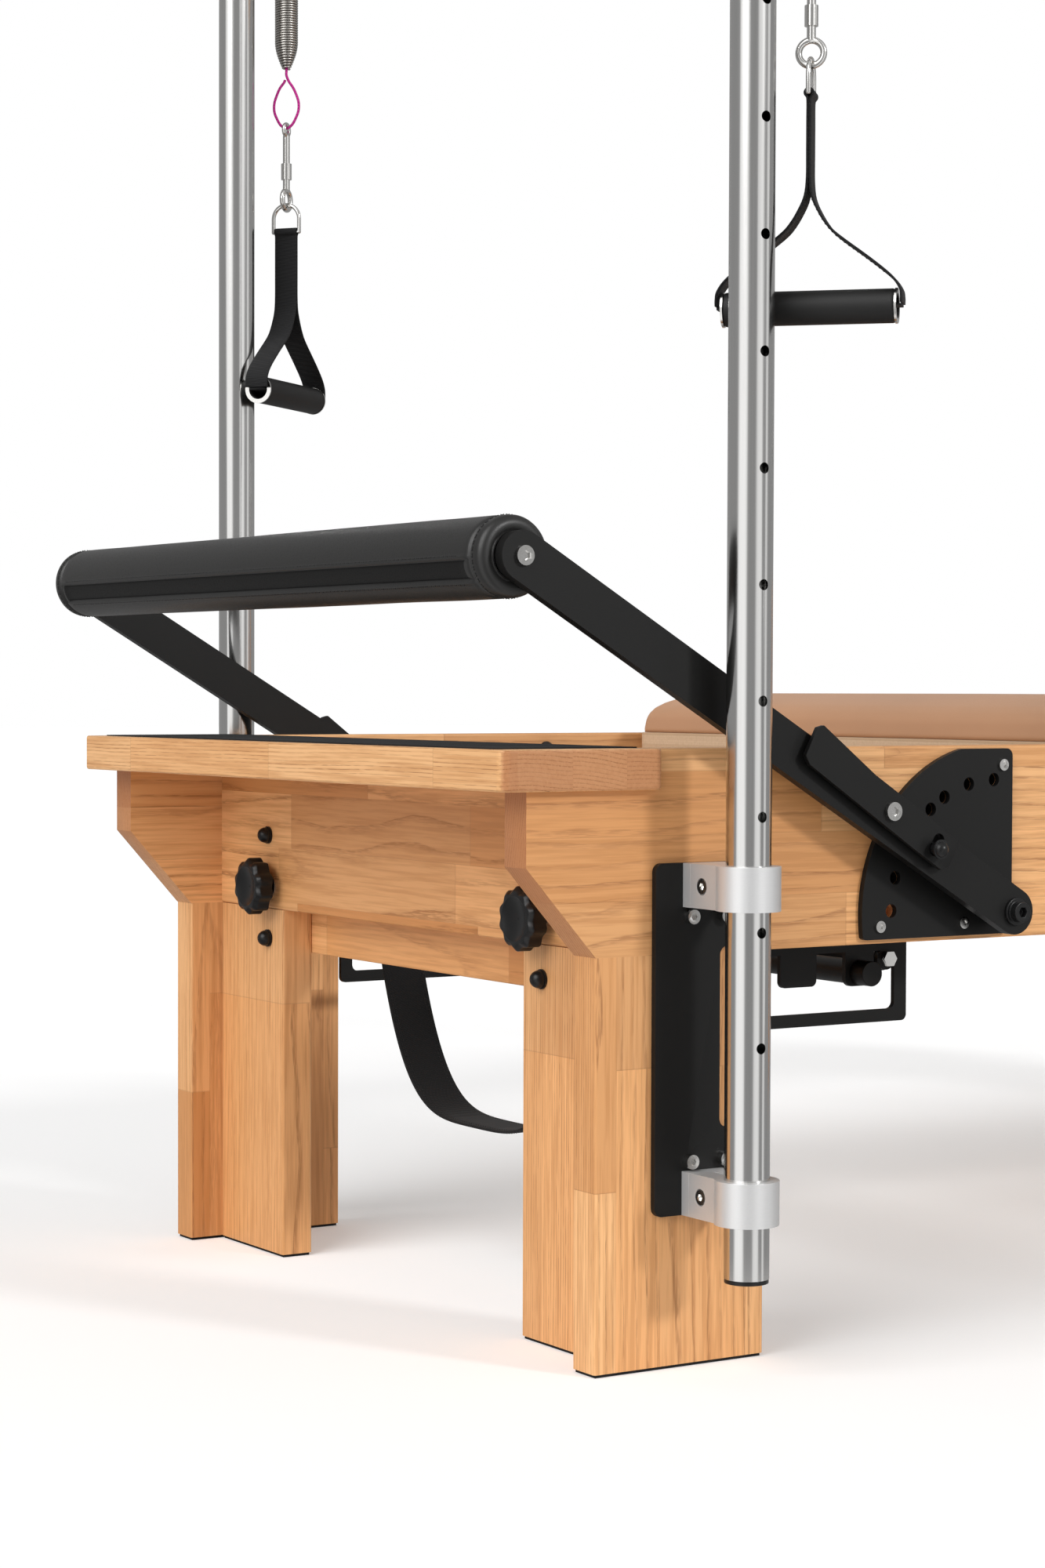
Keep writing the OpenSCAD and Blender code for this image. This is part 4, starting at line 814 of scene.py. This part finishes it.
# %% Handle webbing
GRIP_Z, STRAP_REACH, WEB_W, WEB_T = 935, 81, 27, 2.2
BAR_Z, BEND_R = 1119.8, 3.6
LEG = [(1.15, 1113.3), (1.15, 1095), (1.15, 1070), (1.25, 1046), (3, 1031), (8, 1019), (16, 1006),
       (26, 996), (54, 975), (72, 960), (79.5, 950), (81, 943), (81, 937)]
OVER_BAR = [(BEND_R * cos(a), BAR_Z + BEND_R * sin(a)) for a in arc_angles(-50, 231, 20)]
strap_route = LEG[::-1] + OVER_BAR + [(-x, z) for x, z in LEG]
for side in SIDES:
    across = (hung(side, 0, 1, 0) - hung(side, 0, 0, 0)).normalized()
    line = smooth_line([hung(side, x, 0, z) for x, z in strap_route])
    band = swept_mesh(line, flat_section(WEB_W / 1000, WEB_T / 1000), side=across)
    through = [hung(side, x, 0, GRIP_Z + 0.3) for x in (-STRAP_REACH, -40, 0, 40, STRAP_REACH)]
    inner_band = swept_mesh(through, flat_section(0.018, WEB_T / 1000), side=across)
    strap = make_piece("handle_webbing_" + side, *joined([band, inner_band]), webbing)
    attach(strap, "handle_" + side)
    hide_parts("handle_strap_" + side)
    rows = []
    fine = resampled(line, 0.0008)[40:-40]
    for offset in (-0.0110, 0.0110):
        rows += stitch_row(fine, across, offset, WEB_T / 2000 + JUST_OVER)
    sewing = make_piece("handle_stitches_" + side, *joined(rows), thread)
    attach(sewing, "handle_" + side)
    print(strap.name, "and", len(rows), "stitches")

# %% [markdown]
# ## Foam grips
#
# Each grip is a thick foam tube on the webbing. Turning a profile with soft rims shows the wall at
# its open ends, which a plain cylinder would hide.

# %% Foam grips
GRIP_HALF, GRIP_R, GRIP_BORE, RIM_R = 0.075, 0.015, 0.0095, 0.0022
rim = [(sin(a), cos(a)) for a in arc_angles(0, 91, 18)]
half_profile = ([(GRIP_HALF - RIM_R + RIM_R * s, GRIP_R - RIM_R + RIM_R * c) for s, c in rim]
                + [(GRIP_HALF - RIM_R + RIM_R * c, GRIP_BORE + RIM_R - RIM_R * s)
                   for s, c in rim])
profile = half_profile + [(-a, r) for a, r in reversed(half_profile)] + [half_profile[0]]
for side in SIDES:
    axis = hung(side, 1, 0, 0) - hung(side, 0, 0, 0)
    grip = make_piece("foam_grip_" + side,
                      *turned_mesh(profile, hung(side, 0, 0, GRIP_Z), axis, 40), foam)
    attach(grip, "handle_" + side)
    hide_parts("handle_grip_" + side)
    print(grip.name, "turned from", len(profile), "points")

# %% [markdown]
# ## Foot strap
#
# A wide black strap hangs in a loop between the front legs. Its route is steep at the sides and
# round at the bottom, like a heavy belt held at two points. It is swept like the handle webbing,
# with sewn edges on both sides.

# %% Foot strap
STRAP_X, STRAP_HALF, STRAP_LOW, STRAP_RISE, STEEPNESS = 259, 194, 161, 172, 3.8
FOOT_STRAP_W, FOOT_STRAP_T = 50, 3
foot_line = []
for t in (0.985 * i / 60 for i in range(-60, 61)):
    s = sin(radians(90 * t))
    foot_line.append(at(STRAP_X, STRAP_HALF * s, STRAP_LOW + STRAP_RISE * abs(s) ** STEEPNESS))
foot_section = flat_section(FOOT_STRAP_W / 1000, FOOT_STRAP_T / 1000)
foot_band = make_piece("foot_strap_band", *swept_mesh(foot_line, foot_section, side=X_AXIS),
                       webbing)
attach(foot_band, "frame")
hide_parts("foot_strap")
rows = []
fine = resampled(foot_line, 0.0009)
for offset in (-0.021, -0.0185, 0.0185, 0.021):
    for face in (-1, 1):
        rows += stitch_row(fine, X_AXIS, offset, face * (FOOT_STRAP_T / 2000 + JUST_OVER))
foot_stitches = make_piece("foot_strap_stitches", *joined(rows), thread)
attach(foot_stitches, "frame")
print("foot strap with", len(rows), "stitches")

# %% [markdown]
# ## Trapeze straps
#
# The trapeze bar hangs in two closed loops of webbing from the cross bar. Each loop is the tangent
# line round both bars.

# %% Trapeze straps
low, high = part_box("trapeze_straps")
SLIDER_X = round((low.x + high.x) / 2 * 1000 + HALF_LENGTH, 1)
SLIDER_Z, BAR_D, TRAPEZE_Z, TRAPEZE_D, OFF_BAR = 2074, 32, 1620, 34, 1.75
top_r, low_r = BAR_D / 2 + OFF_BAR, TRAPEZE_D / 2 + OFF_BAR


def bend(radius, height, start, stop):
    """Half a turn of the strap round a bar."""
    return [(radius * cos(a), height + radius * sin(a)) for a in arc_angles(start, stop, 12)]


down = [(-top_r - (low_r - top_r) * t, SLIDER_Z + (TRAPEZE_Z - SLIDER_Z) * t)
        for t in (0.1, 0.3, 0.5, 0.7, 0.9)]
loop_line = (bend(top_r, SLIDER_Z, 0, 181) + down + bend(low_r, TRAPEZE_Z, 180, 361)
             + [(-x, z) for x, z in reversed(down)])
bands = [swept_mesh([at(SLIDER_X + x, y, z) for x, z in loop_line], flat_section(0.040, 0.0025),
                    closed=True, side=Y_AXIS) for y in (-250, 250)]
trapeze_webbing = make_piece("trapeze_webbing", *joined(bands), webbing)
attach(trapeze_webbing, "trapeze")
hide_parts("trapeze_straps")
print("trapeze straps hang at", SLIDER_X)

# %% [markdown]
# ## The padded roll
#
# The foot bar's roll is foam in a vinyl sleeve. The sleeve ends in a wrapped rim with a groove
# before it, and along the side that faces the foot end two sewn ledges hold a strip between them.
# One skin of rings does it all: each ring is the round outline, with its radius lowered or raised
# near a seam, and the rings follow the length with the groove and the soft end worked in.

# %% The roll's outline
ROLL_CENTRE, ROLL_R, ROLL_HALF, CORE_R = (5.6, 713.6), 36, 438, 19.6
SEAMS = (radians(184), radians(217))
PLAIN_END, PLAIN_BLEND = 30, 12      # near the ends the strip runs out


def roll_point(radius, angle, along):
    """A point round the roll's axis, in millimetres, to the table's frame."""
    return at(ROLL_CENTRE[0] + radius * cos(angle), along, ROLL_CENTRE[1] + radius * sin(angle))


def swelling(offset, middle, width):
    """Height from 0 to 1 of a soft swelling across the seam."""
    return exp(-((offset - middle) / width) ** 2)


def roll_radius(angle, along):
    """Radius of the sleeve in millimetres at an angle from +X towards +Z."""
    r = ROLL_R - 0.5
    first, second = (degrees(angle - seam) for seam in SEAMS)
    if first > 0 > second:
        r -= 2.6 - 0.9 * sin(pi * first / 33)
    r += swelling(first, -2.6, 2.4) - 1.8 * swelling(first, 1.2, 1.1)
    r += swelling(second, 2.4, 2.4) - 1.6 * swelling(second, -1.2, 1.1)
    inward = ROLL_HALF - abs(along)
    if inward < PLAIN_END:
        share = min((PLAIN_END - inward) / PLAIN_BLEND, 1.0)
        r = r * (1 - share) + (ROLL_R - 0.6) * share
    wrinkle = noise.noise(Vector((cos(angle) * 1.4, along * 0.010, sin(angle) * 1.4)))
    return r + 0.35 * wrinkle * min(inward / 60, 1.0)


def roll_stations():
    """(place along the roll, drop of its radius) in millimetres from the middle to one end."""
    body = [(y, 0.0) for y in (0, 40, 80, 120, 160, 200, 240, 280, 310, 340, 365, 385, 398, 408)]
    groove = [(413, 0.0), (416.5, 0.3), (418.3, 1.3), (419.2, 2.4), (420.2, 2.6), (421.2, 1.8),
              (422.4, 0.6), (424.5, 0.0), (428, 0.0)]
    lip = [(ROLL_HALF - 8 + 8 * sin(a), 8 * (1 - cos(a))) for a in arc_angles(15, 91, 15)]
    face = [(ROLL_HALF, 10.5), (ROLL_HALF - 0.8, 13.0), (ROLL_HALF - 2.2, 15.4)]
    return body + groove + lip + face


half = roll_stations()
stations = [(-y, d) for y, d in reversed(half[1:])] + half
print(len(stations), "rings along the roll")

# %% The roll's skin
STEPS, SHADED_STRIP_HALF = 180, 412
angles = round_angles(STEPS)
points = [roll_point(max(roll_radius(a, along) - drop, CORE_R), a, along)
          for along, drop in stations for a in angles]
last = len(stations) - 1
faces = [(i * STEPS + s, (i + 1) * STEPS + s, (i + 1) * STEPS + (s + 1) % STEPS,
          i * STEPS + (s + 1) % STEPS) for i in range(last) for s in range(STEPS)]
for row in (0, last):
    base, y = len(points), stations[row][0]
    points += [roll_point(CORE_R, a, y - copysign(3, y)) for a in angles]
    for s in range(STEPS):
        t = (s + 1) % STEPS
        quad = (row * STEPS + s, base + s, base + t, row * STEPS + t)
        faces.append(quad if row else tuple(reversed(quad)))
roll = make_piece("roll_sleeve", points, faces, black_vinyl)
# The strip between the seams takes the darker vinyl, which paints in the shade of the roll's
# underside.
roll.data.materials.append(shaded_strip_vinyl)
for i, polygon in enumerate(roll.data.polygons):
    ring, step = divmod(i, STEPS)
    in_shaded_strip = SEAMS[0] < angles[step] < SEAMS[1] - 0.02
    if ring < last and in_shaded_strip and abs(stations[ring][0]) < SHADED_STRIP_HALF:
        polygon.material_index = 1
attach(roll, "footbar")
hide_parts("footbar_roll")
print(roll.name, len(roll.data.polygons), "faces")

# %% The roll's stitches
THREAD_UP, RIM_STITCH_Y, RIM_STITCH_R = 0.0003, 425.5, 35.7
rows = []
for seam, offset in zip(SEAMS, (-4.6, 4.4)):
    a = seam + radians(offset)
    outward = Vector((cos(a), 0, sin(a)))
    r = roll_radius(a, 100) + 0.15
    line = [roll_point(r, a, y) for y in range(-404, 405)]
    rows += stitch_row(line, Y_AXIS.cross(outward), 0.0, THREAD_UP, 0.0042, 0.0018, 0.0004)
for sign in (-1, 1):
    ring = [roll_point(RIM_STITCH_R, a, sign * RIM_STITCH_Y) for a in round_angles(240) + [2 * pi]]
    rows += stitch_row(ring, Y_AXIS, 0.0, THREAD_UP, 0.0035, 0.0018, 0.0004)
roll_stitches = make_piece("roll_stitches", *joined(rows), thread)
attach(roll_stitches, "footbar")
print("roll with", len(rows), "stitches")

# %% [markdown]
# ## Padded cushions
#
# A cushion is foam under a stretched cover, so it swells between its edges. A cloth simulation with
# a little pressure gives that swell: the plain block is remeshed evenly, blown up for twenty frames
# with its underside held, and capped so that it never strays far.

# %% The plain block
def rounded_block(length, width, thick, corner, edge, nose):
    """Points and faces of a block with round corners; its upper edge curves in by edge, its ends
    by nose."""
    outline = []
    for c, (sx, sy) in enumerate(((1, 1), (-1, 1), (-1, -1), (1, -1))):
        for a in (radians(90 * c + 90 * i / 8) for i in range(9)):
            outline.append((sx, sy, cos(a), sin(a)))
    rings = [(0.3, 0.0), (0.0, 2.0), (0.0, 4.0)]
    for t in (radians(90 * i / 12) for i in range(13)):
        rings.append((edge * (1 - cos(t)), thick - edge + edge * sin(t)))
    rings += [(edge + s * (width / 2 - edge), thick) for s in (0.2, 0.45, 0.7, 0.9)]
    points = []
    for inset, z in rings:
        r = max(corner - inset * 0.4, 2.0)
        if inset <= edge:
            end = inset * nose / edge
        else:
            end = nose + (inset - edge) * (length / 2 - nose) / (width / 2 - edge)
        points += [(sx * (length / 2 - end - r) + r * ca, sy * (width / 2 - inset - r) + r * sa,
                    z) for sx, sy, ca, sa in outline]
    k = len(outline)
    faces = [face for i in range(len(rings) - 1) for face in ring_faces(i, i + 1, k)]
    return points, faces + end_faces(points, k)


print("a block has", len(rounded_block(200, 100, 50, 10, 20, 20)[0]), "points")

# %% Blowing it up
VOXEL, PRESSURE, CAP, FRAMES = 0.006, 4.0, 4.0, 20
SPARE, BEFORE_SWELL = 3, CAP * 0.7      # how much smaller the block starts, in millimetres


def apply_modifiers(piece):
    graph = bpy.context.evaluated_depsgraph_get()
    piece.data = bpy.data.meshes.new_from_object(piece.evaluated_get(graph))
    piece.modifiers.clear()


def swell(piece):
    """Cloth simulation of a cover under pressure, held at its underside, then applied."""
    remesh = piece.modifiers.new("even", "REMESH")
    remesh.mode = "VOXEL"
    remesh.voxel_size = VOXEL
    apply_modifiers(piece)
    before = [v.co.copy() for v in piece.data.vertices]
    low = min(v.z for v in before)
    held = piece.vertex_groups.new(name="underside")
    held.add([i for i, v in enumerate(before) if v.z < low + 0.004], 1.0, "REPLACE")
    cloth = piece.modifiers.new("cover", "CLOTH")
    cloth.settings.quality = 5
    cloth.settings.use_pressure = True
    cloth.settings.uniform_pressure_force = PRESSURE
    cloth.settings.vertex_group_mass = "underside"
    cloth.settings.effector_weights.gravity = 0.0
    cloth.collision_settings.use_collision = False
    for frame_number in range(1, FRAMES + 1):
        bpy.context.scene.frame_set(frame_number)
    apply_modifiers(piece)
    for v, old in zip(piece.data.vertices, before):
        step = v.co - old
        if step.length > CAP / 1000:
            v.co = old + step * (CAP / 1000 / step.length)
    bpy.context.scene.frame_set(1)


def cushion(name, size, corner, edge, nose, place):
    """A cushion in its own frame, swollen, smoothed and then set in place by a matrix."""
    length, width, thick = size
    points, faces = rounded_block(length - SPARE, width - SPARE, thick - BEFORE_SWELL, corner,
                                  edge, nose)
    piece = make_piece(name, [Vector(p) / 1000 for p in points], faces, tan_vinyl)
    swell(piece)
    relax = piece.modifiers.new("relax", "SMOOTH")
    relax.factor, relax.iterations = 0.5, 4
    finer = piece.modifiers.new("finer", "SUBSURF")
    finer.levels = finer.render_levels = 1
    apply_modifiers(piece)
    piece.data.materials.clear()
    piece.data.materials.append(tan_vinyl)
    half = Vector((length / 2000, width / 2000, thick / 1000))
    for v in piece.data.vertices:
        v.co.z = min(v.co.z, half.z) if v.co.z > 0.003 else 0.0
        v.co.x = min(max(v.co.x, -half.x), half.x)
        v.co.y = min(max(v.co.y, -half.y), half.y)
    piece.data.transform(place)
    piece.data.shade_smooth()
    print(name, len(piece.data.polygons), "faces, box", [round(1000 * c) for c in piece.dimensions])
    return piece


def lying_cushion(name, solid, corner, edge, nose):
    """A cushion that fills a CAD solid's box, with its underside at the foot of the box."""
    low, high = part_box(solid)
    place = Matrix.Translation(((low.x + high.x) / 2, (low.y + high.y) / 2, low.z))
    return cushion(name, (high - low) * 1000, corner, edge, nose, place)


print("cushions may swell by", CAP, "mm")

# %% Carriage and headrest
pad = lying_cushion("carriage_cushion", "carriage_pad", 12, 30, 58)
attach(pad, "carriage")
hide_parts("carriage_pad")

head_cushion = lying_cushion("headrest_cushion", "headrest_pad", 14, 22, 30)
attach(head_cushion, "headrest")
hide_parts("headrest_pad")

# %% Shoulder rests
SHOULDER_WIDE = 112
low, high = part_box("shoulder_pads")
tall, deep = (high.z - low.z) * 1000, (high.x - low.x) * 1000
for side, (sign, _) in SIDES.items():
    centre_y = sign * ((high.y - low.y) / 2 - SHOULDER_WIDE / 2000)
    stand = (Matrix.Translation((high.x, centre_y, (low.z + high.z) / 2))
             @ Matrix.Rotation(radians(-90), 4, "Y"))
    shoulder = cushion("shoulder_cushion_" + side, (tall, SHOULDER_WIDE, deep), 20, 22, 22, stand)
    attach(shoulder, "carriage")
    if side == "near":
        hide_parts("shoulder_pads")
print("cushions done")

# %% [markdown]
# ## Studio
#
# The floor is plain and pale. The light is a broad sun over the foot end, a small one low on the
# right and an even sky, so the floor stays white but for the soft shadow under the table. Polished
# posts show what stands around them, and a photographer's studio has bright panels in a darker
# room. So a ray from a shiny surface sees panels in the sky and on the floor far away, while the
# camera and the other rays see plain white.

# %% Panels for the mirrors
MIRRORED, SKY = 0.36, 0.40
PANELS = [((-0.974, -0.225, 0), 30, 14, 0.95), ((0.130, -0.991, 0), 20, 9, 0.75),
          ((0.769, -0.640, 0), 9, 3, 0.60)]
NEAR_POST = (-0.965, -0.486, 0)


def vector_maths(target, operation, *vectors):
    return add(target, "VectorMath", dict(enumerate(vectors)), operation=operation).outputs


def light_panels(target, way):
    """Brightness of the studio that a mirror sees level, by compass direction."""
    flat = vector_maths(target, "MULTIPLY", way, (1, 1, 0))[0]
    flat = vector_maths(target, "NORMALIZE", flat)[0]
    total = MIRRORED
    for toward, outer, inner, level in PANELS:
        panel = add(target, "MapRange", {
            "Value": vector_maths(target, "DOT_PRODUCT", flat, toward)["Value"],
            "From Min": cos(radians(outer)), "From Max": cos(radians(inner)), "To Min": 0.0,
            "To Max": level}, interpolation_type="SMOOTHSTEP").outputs["Result"]
        total = plus(target, panel, total)
    return total


print(len(PANELS), "panels")

# %% Floor
FLOOR_HALF, FLOOR_GLOW, WHITE = 40.0, 0.20, (1, 1, 1, 1)
paint, shader = new_material("floor_paint", Base_Color=(0.88, 0.88, 0.88, 1), Roughness=0.9,
                             Specular_IOR_Level=0.0)
seen = add(paint, "LightPath").outputs
direct = maths(paint, "MAXIMUM", seen["Is Camera Ray"], maths(
    paint, "MAXIMUM", seen["Is Glossy Ray"], seen["Is Transmission Ray"]))
glow = add(paint, "Emission", {"Color": WHITE, "Strength": times(paint, direct, FLOOR_GLOW)})
plain = add(paint, "AddShader", {0: shader.outputs[0], 1: glow.outputs[0]})
from_post = vector_maths(paint, "SUBTRACT", own_space(paint), NEAR_POST)[0]
mirror_glow = add(paint, "Emission", {"Color": WHITE, "Strength": light_panels(paint, from_post)})
distance = vector_maths(paint, "LENGTH", from_post)["Value"]
far_off = add(paint, "MapRange", {"Value": distance, "From Min": 0.1, "From Max": 0.6,
                                  "To Min": 0.0, "To Max": 1.0}).outputs["Result"]
in_mirror = times(paint, seen["Is Glossy Ray"], far_off)
mixed = add(paint, "MixShader", {0: in_mirror, 1: plain.outputs[0], 2: mirror_glow.outputs[0]})
output = next(n for n in paint.node_tree.nodes if n.type == "OUTPUT_MATERIAL")
wire(paint, mixed.outputs[0], output.inputs["Surface"])
corners = [(x * FLOOR_HALF, y * FLOOR_HALF, 0) for x, y in ((-1, -1), (1, -1), (1, 1), (-1, 1))]
floor = make_piece("floor", corners, [(0, 1, 2, 3)], paint, smooth=False)
print("floor of", 2 * FLOOR_HALF, "m")

# %% Sky and lamps
world = bpy.data.worlds.new("studio")
bpy.context.scene.world = world
world.use_nodes = True
background = world.node_tree.nodes["Background"]
background.inputs["Color"].default_value = WHITE
path = add(world, "LightPath").outputs
mirrored = maths(world, "MAXIMUM", path["Is Glossy Ray"], path["Is Transmission Ray"])
shown = light_panels(world, add(world, "TexCoord").outputs["Generated"])
indirect = scaled(world, mirrored, maths(world, "SUBTRACT", shown, SKY), SKY)
wire(world, maths(world, "MAXIMUM", path["Is Camera Ray"], indirect),
     background.inputs["Strength"])


def sun(name, toward, strength, angle):
    """A lamp whose light comes from the direction toward; strength 1 lights white to white."""
    lamp = bpy.data.lights.new(name, "SUN")
    lamp.energy = strength * pi
    lamp.angle = radians(angle)
    piece = bpy.data.objects.new(name, lamp)
    piece.matrix_world = Vector(toward).to_track_quat("Z", "Y").to_matrix().to_4x4()
    bpy.context.scene.collection.objects.link(piece)


sun("overhead", (-1.0, -0.3, 0.8), 0.66, 50)
sun("right_front", (0.42, -0.90, 0.42), 0.36, 8)
print("sky and two lamps")
